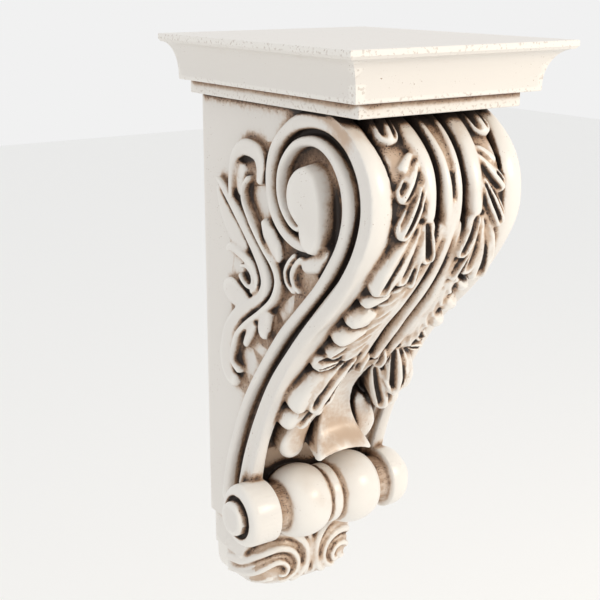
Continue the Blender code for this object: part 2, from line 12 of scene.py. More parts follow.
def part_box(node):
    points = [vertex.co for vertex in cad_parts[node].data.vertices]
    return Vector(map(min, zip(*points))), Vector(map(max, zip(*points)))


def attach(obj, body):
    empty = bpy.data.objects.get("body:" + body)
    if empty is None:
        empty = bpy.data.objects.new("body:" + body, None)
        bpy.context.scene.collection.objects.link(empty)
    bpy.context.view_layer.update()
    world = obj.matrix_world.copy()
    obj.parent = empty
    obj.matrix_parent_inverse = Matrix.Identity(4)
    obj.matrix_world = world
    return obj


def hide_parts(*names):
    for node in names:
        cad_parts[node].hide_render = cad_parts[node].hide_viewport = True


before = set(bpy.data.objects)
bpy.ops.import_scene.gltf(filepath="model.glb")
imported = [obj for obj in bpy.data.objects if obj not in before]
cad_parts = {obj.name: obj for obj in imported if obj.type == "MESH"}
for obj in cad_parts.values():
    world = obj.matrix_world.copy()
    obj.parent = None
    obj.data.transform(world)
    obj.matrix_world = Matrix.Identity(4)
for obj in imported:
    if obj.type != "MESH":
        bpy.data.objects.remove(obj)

bl_info = {
    "name": "Scrolled corbel",
    "version": (1, 0, 0),
    "blender": (4, 5, 0),
    "location": "3D View > Sidebar > Corbel",
    "description": "A moulded wall corbel with its carving, its antiqued cream paint and a plain stage",
    "category": "Object",
}

# The casting's own box gives its height, and the carving is drawn in parts, 204 of them to half of it
LOW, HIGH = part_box("corbel")
HALF_PARTS = 204
PART = HIGH.z / HALF_PARTS
SHAFT_PARTS = 116

# Front outline of the shaft, from the cap's band down to the roll, as (reach, drop) in parts
SHAFT_PROFILE = [
    (152, 38), (174, 50), (190, 67), (196, 88), (192, 110), (174, 138), (138, 175),
    (103, 219), (80, 261), (66, 298), (60, 326),
]

# Width of the ribbons along the front, as shares of the widest
RIBBON_SHARES = [0.6, 0.58, 0.76, 0.78, 0.83, 0.83, 1, 0.92, 0.66, 0.5, 0.44, 0.5, 0.56]

# Side scroll, as (reach, drop) in parts with half widths
OUTER_BAND = [
    (51, 312), (61, 282), (76, 250), (93, 222), (113, 198), (133, 176), (152, 158), (169, 139),
    (182, 119), (189, 98), (188, 80), (181, 65), (170, 54), (155, 47), (138, 45), (121, 48),
    (107, 55.5), (96, 66), (91, 79), (90.5, 93), (93.5, 104), (101, 113.5), (111, 120), (123, 123),
    (136, 121.5), (146, 115),
]
OUTER_BAND_WIDTH = [4.4, 4.4, 4.4, 4.6, 5, 5.2, 5.2, 5.2, 5, 5.4, 5.4, 4, 3.6, 4, 4.4]
BACK_RIDGE = [
    (28, 330), (35, 300), (45, 273), (56, 250), (69, 229), (86, 206.5), (104, 185), (123, 166.5),
    (142, 148), (156, 131), (166, 115), (171, 98), (169, 82), (161, 69), (150, 61), (137, 58),
    (122, 60.5), (111, 68), (103.5, 79), (102, 92), (106, 102.5), (114.5, 110.5), (123, 113), (129, 109),
]
BACK_RIDGE_WIDTH = [5, 4.5, 4, 4, 4, 4, 4, 4.2, 4.4, 3.6, 3.2, 2.8, 2.4]
EYE = (134, 98)
EYE_OUTLINE = [
    (134, 73.3), (125.5, 76.5), (119, 83), (116.5, 91), (118, 99.5), (124, 106), (130.5, 111), (131, 118),
    (135.5, 124), (142, 124.5), (148, 119), (150.3, 108), (150.3, 97), (148, 86), (143, 77),
]
EYE_SHARES = [1.1, 1.08, 1.03, 1, 0.95, 0.6, 0.03]
EYE_LIFTS = [-8, 0, 7.5, 9.2, 10.3, 11.2, 11.5]
BAND_CREST = 6.2

# Fine ribs: those of the leaves as (across, along) in parts, those of the drop as (across, drop)
LEAF_VEINS = (
    ((18, 122), (23, 129), (30, 134), (37, 139)),
    ((16.5, 124), (20.5, 135), (27, 143), (33, 148), (39, 154)),
    ((16, 129), (19, 142), (24, 152), (31, 159), (38, 167)),
    ((16, 135), (18, 150), (22, 161), (29, 169), (36, 176)),
    ((16, 142), (17.5, 158), (21, 170), (27, 178), (34, 186)),
    ((16.5, 150), (18, 167), (21, 180), (26, 189), (33, 196)),
    ((16.5, 160), (17.5, 176), (20, 189), (24, 199), (30, 206)),
    ((16, 170), (16.5, 184), (18, 197), (21, 208)),
    ((25, 84), (33.5, 100), (40, 116), (42, 130)),
    ((24, 84), (29, 100), (33, 116), (34.5, 132)),
    ((20, 206), (29, 218), (36, 231), (39, 246)),
    ((16, 230), (26, 245), (36, 257), (41, 268)),
)
DROP_VEINS = (
    ((47, 380), (41, 369), (30, 363.5), (18, 365), (9.5, 372), (8.5, 382), (13, 393)),
    ((47, 391), (41, 381), (31, 374), (23, 374.5), (17, 379), (16.5, 386)),
)
VEIN_POINTS = 40
VEIN_LIFT = 28.0

# Depth of the members' roots under the front, and under the sides and the drop, and a root's share of width
FRONT_ROOT = 16
SIDE_ROOT = 6
RIBBON_ROOT = 8
ROOT_SHARE = 0.8

# Section of a member: how square and how full it is, how blunt its ends are, and where its grooves run
SQUARENESS = 3
FULLNESS = 0.6
BLUNTNESS = 0.985
GROOVE_START = 0.1
GROOVE_END = 0.22

# The flared leaf's bow, raised rims and rounded edges, and the side panels' front corner, in parts
LEAF_BOW = 6
LEAF_RIM = 2.4
LEAF_ROUND = 3
PANEL_TOP_REACH = 138

# The roll's softened edges: the ring as shares of its size, the ends and buttons as (along, in) in metres
RING_EDGE = ((0, 1), (0.6, 1), (0.85, 0.985), (1, 0.95))
ROLL_EDGE = ((0.0008, 0.001), (0.0016, 0))
BUTTON_EDGE = ((0.002, 0), (0.0006, 0.0008), (0, 0.0025))
CUP_SLOPE = 0.001

# The cap's softened edges, and the small steps above, below and in front of its cove, in metres
CAP_EDGE = 0.0006
COVE_TOP = 0.0012
COVE_TRIM = 0.004
COVE_FRONT = 0.0016

# How far the casting runs behind the wall plane before it is cut flat, in metres
BEHIND = 0.012

# Steps along curves and round turned forms
FINE_STEPS = 600
CORE_STRIDE = 15
PANEL_STEPS = 40
RIBBON_ROWS = 160
LEAF_ROWS = 60
LEAF_POINTS = 41
EYE_POINTS = 97
COVE_STEPS = 24
END_STEPS = 11
BALL_STEPS = 33
TURN_STEPS = 128
DROP_STEPS = 65

# Points nearer than this are one point, in metres, and a face is large from this many cells round its rim
TOUCHING = 0.00001
LARGE_RIM = 10

# Camera: place in metres from the middle of the cap's top at the wall, turn and tilt in degrees
CAMERA_PLACE = (-0.46172, -0.71434, 0.04012)
CAMERA_TURN = -34.441
CAMERA_TILT = 15.472
FOCAL_PIXELS = 1193.5
PICTURE_PIXELS = 600

# Lights and floor: places and sizes in metres
KEY_PLACE = (0.66, -1.20, 0.55)
KEY_SIZE = 0.35
FILL_PLACE = (-1.1, -0.6, 0.5)
FILL_SIZE = 0.6
FLOOR_HALF = 4.0

# Finishes: name, amount of glaze and of painted shade in the hollows, wash over the raised parts, how rare
# the specks are, chipped edges
FINISHES = (
    ("cream_shaft", 0.95, 0.0, 0.62, 0.0),
    ("glazed_leaves", 1.1, 0.75, 0.60, 0.0),
    ("cream_moulding", 0.85, 0.0, 0.64, 0.30),
)

# Where more glaze and painted shade are laid: (x, y, z) and a radius in metres, and shares on raised parts
# and in hollows
SMUDGES = (
    ((-0.034, -0.088, -0.100), 0.022, 0.75, 0),
    ((-0.008, -0.086, -0.084), 0.042, 0.7, 0),
    ((-0.052, -0.166, 0.156), 0.030, 1.2, 0.2),
    ((0.030, -0.096, -0.096), 0.016, 0.75, 0),
    ((-0.022, -0.080, -0.112), 0.020, 1.1, 0),
    ((-0.052, -0.156, 0.098), 0.030, 0, 0.8),
    ((0.052, -0.156, 0.098), 0.030, 0, 0.8),
    ((0, -0.175, 0.140), 0.040, 0, 0.3),
)

# How the hollows are felt out: rays from each point, how wide they fan, and how far they look, in metres
HOLLOW_RAYS = 18
RAY_FAN = 0.88
RAY_START = 0.0003
HOLLOW_REACH = 0.030
NOOK_REACH = 0.010
CREASE_EDGE = 0.0004

# Scales of the noises in the glaze and the paint
CLOUD_SCALE = 48.0
GRAIN_SCALE = 420.0
DUST_SCALE = 1000.0
CHIP_SCALE = 460.0
SWELL_SCALE = 260.0
PIT_SCALE = 900.0
PATCH_SCALE = 34.0

# Where each kind of glaze with its painted shade, the specks, the painted edge highlight and the chips start
# and are full, from an open surface at 0 to a deep hollow
# The next three are real glaze and painted shade together, heavier the more enclosed a point is
FILM_AND_SHADE = (0.22, 0.42)
STAIN_AND_SHADE = (0.31, 0.52)
# Near-black in the nooks: glaze together with painted shadow
NOOK_SHADOW_AND_GLAZE = (0.45, 0.62)
SPECKLED = (0.29, 0.44)
# Painted highlight on convex edges, which also bounds where the chips lie
EDGE_HIGHLIGHT_AND_WEAR = (-0.04, -0.22)
CHIPPED = (0.56, 0.63)
PITTED = (0.52, 0.60)

# Paint: how rare the pits are, how rough it is bare and under glaze, and the edge angle that stays sharp
PIT_LIMIT = 0.71
BARE_ROUGHNESS = 0.30
GLAZED_ROUGHNESS = 0.62
SHARP_ANGLE = 0.7


def size(name, default, description):
    """A length in metres for a property group."""
    return FloatProperty(name=name, default=default, min=0, unit="LENGTH", description=description)


def colour(name, default, description):
    """A colour for a property group."""
    return FloatVectorProperty(name=name, default=default, size=3, min=0, max=1, subtype="COLOR",
                               description=description)


class CorbelCapSizes(PropertyGroup):
    """Sizes of the square cap."""

    lip_height: size("Lip height", 0.0040, "Thickness of the cap's top lip")
    cove_height: size("Cove height", 0.0264, "Height of the hollow moulding under the lip")
    cove_inset: size("Cove inset", 0.0148, "How far the hollow moulding runs in")
    band_height: size("Band height", 0.0094, "Height of the narrow band under the cove")
    overhang: size("Overhang", 0.0238, "How far the lip stands out from the band")


class CorbelShaftSizes(PropertyGroup):
    """Sizes of the shaft between the cap and the roll."""

    width: size("Width", 0.116, "Width over the two side scrolls")
    panel_sink: size("Panel sink", 0.0056, "How far the side panels lie inside the scrolls")
    groove_sink: size("Groove sink", 0.0092, "How deep the scrolls' grooves go")
    field_sink: size("Field sink", 0.0120, "How deep the front lies between the ribbons")
    ribbon_width: size("Ribbon width", 0.020, "Width of the plain ribbons at the front")
    ribbon_crown: size("Ribbon crown", 0.0016, "How much the ribbons swell")
    neck_reach: size("Neck reach", 0.1600, "How far the solid neck under the cap stands out")
    neck_height: size("Neck height", 0.0027, "Height of the neck that shows under the cap")
    panel_foot: size("Panel foot", 0.3490, "Drop from the cap's top to the panels' foot")


class CorbelRollSizes(PropertyGroup):
    """Sizes of the turned roll at the foot."""

    axis_reach: size("Axis reach", 0.0695, "Distance of the roll's axis from the wall")
    axis_drop: size("Axis drop", 0.3235, "Drop from the cap's top to the roll's axis")
    ball_radius: size("Ball radius", 0.0262, "Radius of the two balls")
    ball_offset: size("Ball offset", 0.0215, "Distance of each ball from the middle")
    ball_half_length: size("Ball half length", 0.0170, "Half the length of a ball along the axis")
    ring_radius: size("Ring radius", 0.0215, "Radius of the middle ring")
    ring_half_length: size("Ring half length", 0.0040, "Half the width of the middle ring")
    neck_radius: size("Neck radius", 0.0168, "Radius of the necks between the balls")
    neck_length: size("Neck length", 0.0092, "Length of the necks between the balls and the ends")
    end_radius: size("End radius", 0.0222, "Radius of the drum and the bun at the ends")
    drum_length: size("Drum length", 0.0248, "Length of the drum at the left end")
    drum_round: size("Drum rounding", 0.0065, "Rounding of the drum's outer edge")
    bun_length: size("Bun length", 0.0180, "Length of the bun at the right end")
    bun_round: size("Bun rounding", 0.0110, "Rounding of the bun's outer edge")
    button_radius: size("Button radius", 0.0120, "Radius of the buttons on the ends")
    button_length: size("Button length", 0.0055, "How far the buttons stand out")
    cup_width: size("Cup width", 0.0030, "Width of the hollow round the buttons")
    cup_depth: size("Cup depth", 0.0035, "Depth of the hollow round the buttons")


class CorbelDropSizes(PropertyGroup):
    """Sizes of the leaf drop under the roll."""

    half_width: size("Half width", 0.0470, "Half the width of the drop")
    reach: size("Reach", 0.0540, "How far the drop stands out from the wall")
    centre: size("Centre", 0.3760, "Drop from the cap's top to the drop's widest level")
    rise: size("Rise", 0.0240, "Height of the drop above its widest level")
    relief: size("Relief", 0.0025, "Height of the leaf ridges at the drop's lowest point")
    squareness: FloatProperty(name="Squareness", default=3.8, min=2, description="2 is a plain ellipsoid")


class CorbelVeins(PropertyGroup):
    """The fine ribs that lie on the leaves and the drop."""

    radius: size("Radius", 0.0019, "Radius of a rib at its middle")
    sink: size("Sink", 0.0002, "How deep a rib's middle lies in the surface")
    thinnest: FloatProperty(name="Thinnest", default=0.75, min=0.1, max=1, description="Share of the radius")
    seed: IntProperty(name="Seed", default=5, description="Seed of the ribs' thicknesses")
    sides: IntProperty(name="Sides", default=8, min=3, description="Sides of a rib's section")


class CorbelFineness(PropertyGroup):
    """How finely the casting is drawn."""

    station_pitch: FloatProperty(name="Station pitch", default=1.6, min=0.2,
                                 description="Parts of length between a ridge's sections")
    section_points: IntProperty(name="Section points", default=25, min=9,
                                description="Points across a ridge's section")
    skin_pitch: size("Skin pitch", 0.00085, "Cell size at which the bodies melt into one skin")
    flat_cell: size("Flat cell", 0.0040, "Cell size of the grid on flat stretches")
    triangles: IntProperty(name="Triangles", default=120000, min=5000, description="Triangles of the carving")


class CorbelPaint(PropertyGroup):
    """Colours of the paint, the glaze worked into it, the painted shade of its hollows and its painted edge
    highlight.
    """

    cream: colour("Cream", (0.77, 0.735, 0.69), "Satin paint on the raised parts")
    # Painted highlight on the convex edges
    bright: colour("Bright", (0.84, 0.81, 0.76), "Paint rubbed bare along the edges")
    # Thin glaze, which also paints the shade on slopes near the hollows
    shade: colour("Shade", (0.56, 0.42, 0.31), "Thin glaze on the slopes")
    # Thicker glaze, which also paints the shade beside the hollows
    tan: colour("Tan", (0.27, 0.16, 0.095), "Thicker glaze beside the hollows")
    # Near-black glaze in the nooks, which also paints their shadow; the specks use it too
    umber: colour("Umber", (0.030, 0.019, 0.014), "Glaze left in the hollows")


class CorbelStage(PropertyGroup):
    """The floor and the lights."""

    floor: colour("Floor", (0.93, 0.93, 0.92), "Colour of the plain floor")
    floor_gap: size("Floor gap", 0.25, "Height of the corbel's foot above the floor")
    key_power: FloatProperty(name="Key", default=8, min=0, unit="POWER", description="Light at the right")
    key_colour: colour("Key colour", (1, 0.87, 0.70), "Colour of the light at the right")
    fill_power: FloatProperty(name="Fill", default=0.3, min=0, unit="POWER", description="Light at the left")
    sky: FloatProperty(name="Sky", default=0.88, min=0, description="Strength of the even light")


def smooth_line(points, count):
    """Draw a smooth curve through a few points, as a count of points evenly spread along it."""
    points = np.asarray(points, float).reshape(len(points), -1)
    ends = (2 * points[0] - points[1], 2 * points[-1] - points[-2])
    padded = np.vstack([ends[0], points, ends[1]])
    at = np.linspace(0, len(points) - 1, FINE_STEPS)
    index = np.clip(at.astype(int), 0, len(points) - 2)
    t = (at - index)[:, None]
    a, b, c, d = (padded[index + k] for k in range(4))
    curve = 0.5 * (2 * b + (c - a) * t + (2 * a - 5 * b + 4 * c - d) * t**2 + (3 * b - a - 3 * c + d) * t**3)
    length = np.r_[0, np.cumsum(np.linalg.norm(np.diff(curve, axis=0), axis=1))]
    even = np.linspace(0, length[-1], count)
    return np.stack([np.interp(even, length, axis) for axis in curve.T], 1)


def spread(values, count):
    """Spread one value, or a few, over a count of stations."""
    values = np.atleast_1d(np.asarray(values, float))
    return np.interp(np.linspace(0, 1, count), np.linspace(0, 1, len(values)), values)


def normals_of(line):
    """Unit normals to the left of a plane line's direction."""
    tangent = np.gradient(line, axis=0)
    tangent /= np.linalg.norm(tangent, axis=1)[:, None]
    return np.stack([tangent[:, 1], -tangent[:, 0]], 1)


def in_space(x, reach, drop):
    """Place points by their distance across, from the wall and below the cap's top."""
    return np.stack([x, -reach, HIGH.z - drop], -1)


def loft(rings):
    """Close a row of rings of points into one body."""
    count, number = rings.shape[:2]
    faces = [tuple(range(number - 1, -1, -1)), tuple(range((count - 1) * number, count * number))]
    i, j = np.meshgrid(np.arange(count - 1) * number, np.arange(number), indexing="ij")
    k = (j + 1) % number
    quads = np.stack([i + j, i + k, i + number + k, i + number + j], -1).reshape(-1, 4)
    return rings.reshape(-1, 3), faces + quads.tolist()


def mirrored(body):
    """The same body on the other side of the middle."""
    points, faces = body
    return points * (-1, 1, 1), [face[::-1] for face in faces]


def both(*bodies):
    """Each body with its mirror image."""
    return [copy for body in bodies for copy in (body, mirrored(body))]


def extruded(outline, half_width):
    """A flat slab with a (reach, drop) outline in metres, as wide as twice the half width."""
    outline = np.asarray(outline, float)
    rings = [in_space(np.full(len(outline), x), *outline.T) for x in (-half_width, half_width)]
    return loft(np.array(rings))


class Ground:
    """The surfaces that the carving is drawn on."""

    def __init__(self, shaft, under, fine):
        self.shaft, self.under, self.fine = shaft, under, fine
        self.across = shaft.width / SHAFT_PARTS
        self.profile = smooth_line(SHAFT_PROFILE, FINE_STEPS)
        self.normals = normals_of(self.profile)
        steps = np.linalg.norm(np.diff(self.profile, axis=0), axis=1)
        self.lengths = np.r_[0, np.cumsum(steps)]

    def front(self, across, along, lift):
        """A point on the shaft's curved front, along it from the cap's band, lifted off it, in parts."""
        reach, drop, out, down = (
            np.interp(along, self.lengths, values) for values in (*self.profile.T, *self.normals.T)
        )
        return in_space(across * self.across, (reach + out * lift) * PART, (drop + down * lift) * PART)

    def side(self, reach, drop, lift):
        """A point on the side panel, lifted off it, in parts."""
        x = self.shaft.width / 2 - self.shaft.panel_sink + lift * PART
        return in_space(x, reach * PART, drop * PART)

    def drop(self, across, drop, lift):
        """A point on the rounded drop under the roll, lifted off it, in parts."""
        under, power = self.under, self.under.squareness
        below = drop * PART > under.centre
        depth = np.where(below, 2 * HIGH.z - under.centre - under.relief, under.rise)
        sizes = np.stack([np.full_like(depth, under.half_width), np.full_like(depth, under.reach), depth], -1)
        x = across * self.across / under.half_width
        z = (drop * PART - under.centre) / depth
        y = np.clip(1 - np.abs(x) ** power - np.abs(z) ** power, 0.01, 1) ** (1 / power)
        place = np.stack([x, y, z], -1)
        out = np.sign(place) * np.abs(place) ** (power - 1) / sizes
        out /= np.linalg.norm(out, axis=-1)[..., None]
        place = place * sizes + out * (lift * PART)[..., None]
        return in_space(place[..., 0], place[..., 1], under.centre + place[..., 2])

    def front_lobe(self, *shape):
        """A member on the front."""
        return self.member(self.front, FRONT_ROOT, *shape)

    def side_lobe(self, *shape):
        """A member on the side panel."""
        return self.member(self.side, SIDE_ROOT, *shape)

    def drop_lobe(self, *shape):
        """A member on the drop."""
        return self.member(self.drop, SIDE_ROOT, *shape)

    def member(self, surface, root, path, width, crest, edge, grooves=0, depth=0.5):
        """A carved ridge, lobe or stem that follows a path on a surface, with round ends."""
        fine = smooth_line(path, FINE_STEPS)
        length = np.linalg.norm(np.diff(fine, axis=0), axis=1).sum()
        stations = max(12, int(length / self.fine.station_pitch))
        line = smooth_line(path, stations)
        share = np.linspace(0, 1, stations)
        width, crest, edge = (spread(v, stations) for v in (width, crest, edge))
        near = np.clip(1 - np.minimum(share, 1 - share) * length / width, 0, BLUNTNESS)
        ends = np.sqrt(1 - near**2)
        t = np.linspace(-1, 1, self.fine.section_points)
        rounded = (1 - np.abs(t) ** SQUARENESS) ** FULLNESS
        groove = (0.5 - 0.5 * np.cos(np.pi * grooves * (t + 1))) ** 2
        held = np.clip(np.minimum(share / GROOVE_START, (1 - share) / GROOVE_END), 0, 1)
        cut = depth * (held * held * (3 - 2 * held))[:, None] * groove
        lift = edge[:, None] + (crest - edge)[:, None] * np.sqrt(ends)[:, None] * rounded * (1 - cut)
        foot = t[::-1][1:-1:3] * ROOT_SHARE
        below = np.full((stations, len(foot)), -float(root))
        reach = (width * ends)[:, None] * np.r_[t, foot]
        flat = line[:, None, :] + normals_of(line)[:, None, :] * reach[:, :, None]
        return loft(surface(flat[..., 0], flat[..., 1], np.hstack([lift, below])))


def core(ground):
    """The shaft behind the carving, narrowed to the floor of the scroll's grooves."""
    shaft, cap = ground.shaft, bpy.context.scene.corbel_cap
    roll, under = bpy.context.scene.corbel_roll, ground.under
    line = ground.profile[::CORE_STRIDE] * PART
    front = line - normals_of(line) * shaft.field_sink
    neck_foot = cap.lip_height + cap.cove_height + cap.band_height + shaft.neck_height
    outline = [(-BEHIND, cap.lip_height), (shaft.neck_reach, cap.lip_height), (shaft.neck_reach, neck_foot),
               *front]
    outline += [(roll.axis_reach, roll.axis_drop), (roll.axis_reach / 2, under.centre),
                (-BEHIND, under.centre)]
    return extruded(outline, shaft.width / 2 - shaft.groove_sink)


def panels(ground):
    """The flat side panels behind the scroll, from the wall to its bands."""
    shaft, lip = ground.shaft, bpy.context.scene.corbel_cap.lip_height
    ridge = smooth_line(BACK_RIDGE[:9], PANEL_STEPS)
    around = smooth_line(OUTER_BAND[13:24], PANEL_STEPS)[::-1]
    edge = np.vstack([ridge, around, [(PANEL_TOP_REACH, lip / PART)]]) * PART
    back = [(-BEHIND, lip), (-BEHIND, shaft.panel_foot), (edge[0][0], shaft.panel_foot)]
    return extruded([*edge, *back], shaft.width / 2 - shaft.panel_sink)


def ribbons(ground):
    """The two plain convex ribbons that edge the front, slimmer beside the lowest leaves."""
    widest = ground.shaft.ribbon_width / ground.across
    crown = ground.shaft.ribbon_crown / PART
    t = np.linspace(-1, 1, ground.fine.section_points)
    core_half = SHAFT_PARTS / 2 - ground.shaft.groove_sink / PART
    rings = []
    alongs = np.linspace(0, ground.lengths[-1], RIBBON_ROWS)
    for along, share in zip(alongs, spread(RIBBON_SHARES, RIBBON_ROWS)):
        half = widest * share / 2
        middle = SHAFT_PARTS / 2 - half
        inner = middle - ROOT_SHARE * half
        step = max(core_half, middle - ROOT_SHARE**2 * half)
        deep = FRONT_ROOT if inner < core_half else RIBBON_ROOT
        across = np.r_[middle + half * t, middle + ROOT_SHARE * half, step, step, inner]
        lift = np.r_[crown * (1 - t**2), -RIBBON_ROOT, -RIBBON_ROOT, -deep, -deep]
        rings.append(ground.front(across, np.full(len(across), along), lift))
    return both(loft(np.array(rings)))


def boss(ground, outline, centre, shares, lifts):
    """A raised boss on the side panel with a closed outline and a softened edge."""
    closed = smooth_line([*outline, outline[0]], EYE_POINTS)[:-1]
    centre = np.array(centre)
    rings = []
    for share, lift in zip(shares, lifts):
        reach, drop = (centre + (closed - centre) * share).T
        rings.append(ground.side(reach, drop, np.full(len(reach), lift)))
    return loft(np.array(rings))


def side_scrolls(ground):
    """The double band that winds up each side and round the eye."""
    side_lobe = ground.side_lobe
    lift = BAND_CREST
    return both(
        side_lobe(OUTER_BAND, OUTER_BAND_WIDTH, [lift, lift, lift, lift + 1], 2.5),
        side_lobe(BACK_RIDGE, BACK_RIDGE_WIDTH, [lift, lift, lift, lift, lift + 1], 1.5),
        boss(ground, EYE_OUTLINE, EYE, EYE_SHARES, EYE_LIFTS),
        side_lobe([(121, 138), (138, 132), (152, 122)], [5, 7.5, 5], [3, 4.5, 3.5], -2),
        side_lobe([(118, 130), (110.5, 137), (106.5, 144.5), (109, 151), (117, 156)], [1.5, 2, 2.2, 2, 1.5],
                  5, 2),
        side_lobe([(124.5, 131), (116.5, 138), (113, 145), (115.5, 151), (122, 155)],
                  [1.5, 2.4, 2.6, 2, 1.5], 4.5, 1),
    )


def side_leaves(ground):
    """The leaf spray on each side panel, behind the scroll."""
    side_lobe = ground.side_lobe
    loop = [(44, 106), (45, 90), (49, 77.5), (57.5, 71), (67, 70), (77, 73), (81, 81), (79, 92)]
    stem = [(24, 94), (38, 104), (52, 115.5), (65, 127), (76, 138), (83, 148), (85, 157), (79, 167),
            (66, 175), (52, 184), (40, 197), (35, 211), (34, 222), (39, 231), (48, 235)]
    rim = [(67, 88), (60.5, 96), (61, 105), (68, 115), (77, 124), (87, 133), (96, 140), (101, 147),
           (101, 155), (95, 165), (81, 176), (63, 188), (50, 199), (44, 211), (43, 220), (52, 226)]
    curl = [(36, 143), (41, 139.5), (50, 140.5), (60, 143.5), (69, 148), (74, 154.5), (73, 161.5), (66, 166)]
    eyelet = [(53, 150.5), (61, 149), (68, 152.5), (69.5, 158.5), (65, 162.5), (58, 160.5), (52, 155.5)]
    return both(
        side_lobe([(52, 80), (52, 92), (54, 104)], [8, 8, 5], [4, 4, 3.6], 1),
        side_lobe(loop, [1.8, 2.2, 3, 4.6, 5.6, 5.6, 4.6, 2.4], 7, 4.5),
        side_lobe(stem, [1.5, 3.4, 4, 4.4, 4.6, 4.8, 5, 5, 5.2, 6, 7, 8, 8.6, 8, 5],
                  [5.5, 6.6, 7, 7, 7, 7, 7], [3, 3.4, 3, 3]),
        side_lobe(rim, [1.6, 2.2, 2.4, 2.4, 2.2], [7, 8.4, 8.6, 8, 6.5], [4, 5, 5, 4]),
        side_lobe([(25, 99), (32, 114), (45, 129), (60, 140)], [2, 7, 9, 4], [5, 5, 4], 2),
        side_lobe([(84, 113), (88, 121), (95, 130), (101, 139)], [2, 6.5, 6.5, 3], [7.5, 6.8, 6], 3),
        side_lobe(curl, [2.4, 3.6, 3.8, 3.6, 3.4, 3.2, 3, 2.2], [5.4, 6.4, 6.8, 6.6, 6], 3),
        side_lobe(eyelet, [1.6, 1.9, 2, 1.9, 1.7], 6, 3),
        side_lobe([(31, 166), (38, 169), (50, 173), (66, 176)], [7, 9.2, 8, 5], [5.6, 5.8, 5.4], 3.4),
        side_lobe([(88, 172), (83, 181), (81, 189), (84, 194)], [4, 6.5, 7, 5], [7, 6.5, 6], 3),
        side_lobe([(72, 184.5), (63, 196), (56.5, 206)], [3, 4, 2.4], [6.5, 6, 5], 3),
    )


def front_stems(ground):
    """The bed under the leaves, the middle stem, the ribs beside it and the ridges that follow it."""
    front_lobe = ground.front_lobe
    bed = [(0, 8), (0, 80), (0, 150), (0, 210), (0, 290)]
    stem = [(0, 70), (0, 105), (0, 140), (0, 175), (0, 210)]
    return [
        front_lobe(bed, [30, 27, 27, 29, 16], [-7, -7, 1, 3, -9], [-11, -11, -8, -6, -12]),
        front_lobe([(0, 2), (0, 28), (0, 58)], [7.5, 6.5, 3], [1.2, 2, 3], -2),
        front_lobe(stem, [5, 4.6, 4.2, 3.8, 3.4], [4.5, 6.5, 10, 13, 13], [0, 1, 4, 7, 8]),
    ] + both(
        front_lobe([(31, 2), (32, 40), (31, 90), (30, 140)], [10, 10, 11, 11], [0, 0.5, 1, 4],
                   [-3, -3, -2, 0]),
        front_lobe([(6.4, 2), (5.8, 28), (4.2, 56), (3, 96)], [2.6, 3.2, 4, 3.4], [3, 4.4, 5, 5], -1),
        front_lobe([(6, 84), (9.5, 112), (13, 145), (14, 178), (11, 212)], [3, 4.6, 5, 4.6, 3.6],
                   [4, 7, 11, 12.5, 12], [-1, 1, 4, 6, 7]),
        front_lobe([(21.5, 2), (19.5, 30), (18, 56), (18.5, 84)], [8, 7.6, 6.8, 5], [3.6, 4.6, 5.4, 6], -1),
        front_lobe([(19, 80), (14.5, 85), (12.5, 93), (10, 105)], [3, 1.7, 1.5, 1.3], [5.5, 5, 4, 3], -2),
    )


def upper_leaves(ground):
    """The acanthus lobes of the first tier of each half, from the cap to the eyelets."""
    front_lobe = ground.front_lobe
    return both(
        front_lobe([(31.5, 3), (34, 18), (36.5, 37)], [5.5, 7.5, 8], [4.5, 7.5, 7], [1, 2.5, 2.5], 2, 0.9),
        front_lobe([(24, 43), (30, 48), (36, 55)], [3, 4, 5], [4, 4.6, 5.2], -3),
        front_lobe([(22, 48), (28, 54), (35, 61)], [2, 2.6, 2.2], [4.5, 5, 5], -2),
        front_lobe([(23, 50), (31, 60), (40, 70)], [3.5, 6.4, 6], [4.5, 6, 6.6], [-1, 0, 1], 2, 0.85),
        front_lobe([(22, 61), (29, 75), (39, 90)], [4, 7.2, 6.6], [5, 7, 9], [0, 1, 3], 3, 0.85),
        front_lobe([(28, 88), (35, 96)], [4, 6], [2, 0.5], -4),
    )


def middle_leaves(ground):
    """The acanthus lobes of the second tier, fanned below the eyelets."""
    front_lobe = ground.front_lobe
    return both(
        front_lobe([(20, 80), (16.5, 94), (12, 108)], [3, 5.4, 5.6], [5, 9.5, 12], [-1, 2, 5], 1, 1),
        front_lobe([(21.5, 82), (19.5, 104), (16, 127)], [2.5, 4.6, 5], [5, 9, 11.5], [-1, 2, 5], 2, 0.85),
        front_lobe([(23, 82), (24.5, 102), (26, 124)], [2.5, 4.6, 5.4], [5, 9, 11.5], [-1, 2, 5], 1, 0.6),
        front_lobe([(24, 82), (31, 98), (36, 114), (38, 131)], [3.5, 8, 9.6, 8], [5, 8.5, 11, 12],
                   [-1, 1, 3, 4.5], 1, 0.6),
        front_lobe([(19, 124), (21, 150), (23, 178), (24, 207)], [7, 9.5, 10, 7], [8, 10.5, 12, 12],
                   [1, 3, 4, 4]),
        front_lobe([(27, 132), (34, 138), (41, 144)], [3.5, 5, 4.6], [8, 9.5, 9], 2),
        front_lobe([(27, 148), (34, 156), (42, 164)], [4.5, 6.6, 6], [10.5, 12.5, 12], 3),
        front_lobe([(27, 166), (34, 175), (42, 184)], [4.5, 7, 6.4], [12, 13.5, 13], 4),
        front_lobe([(27, 187), (33, 195), (39, 202)], [3.5, 5, 4.6], [12, 13, 12], 4, 1, 0.6),
    )


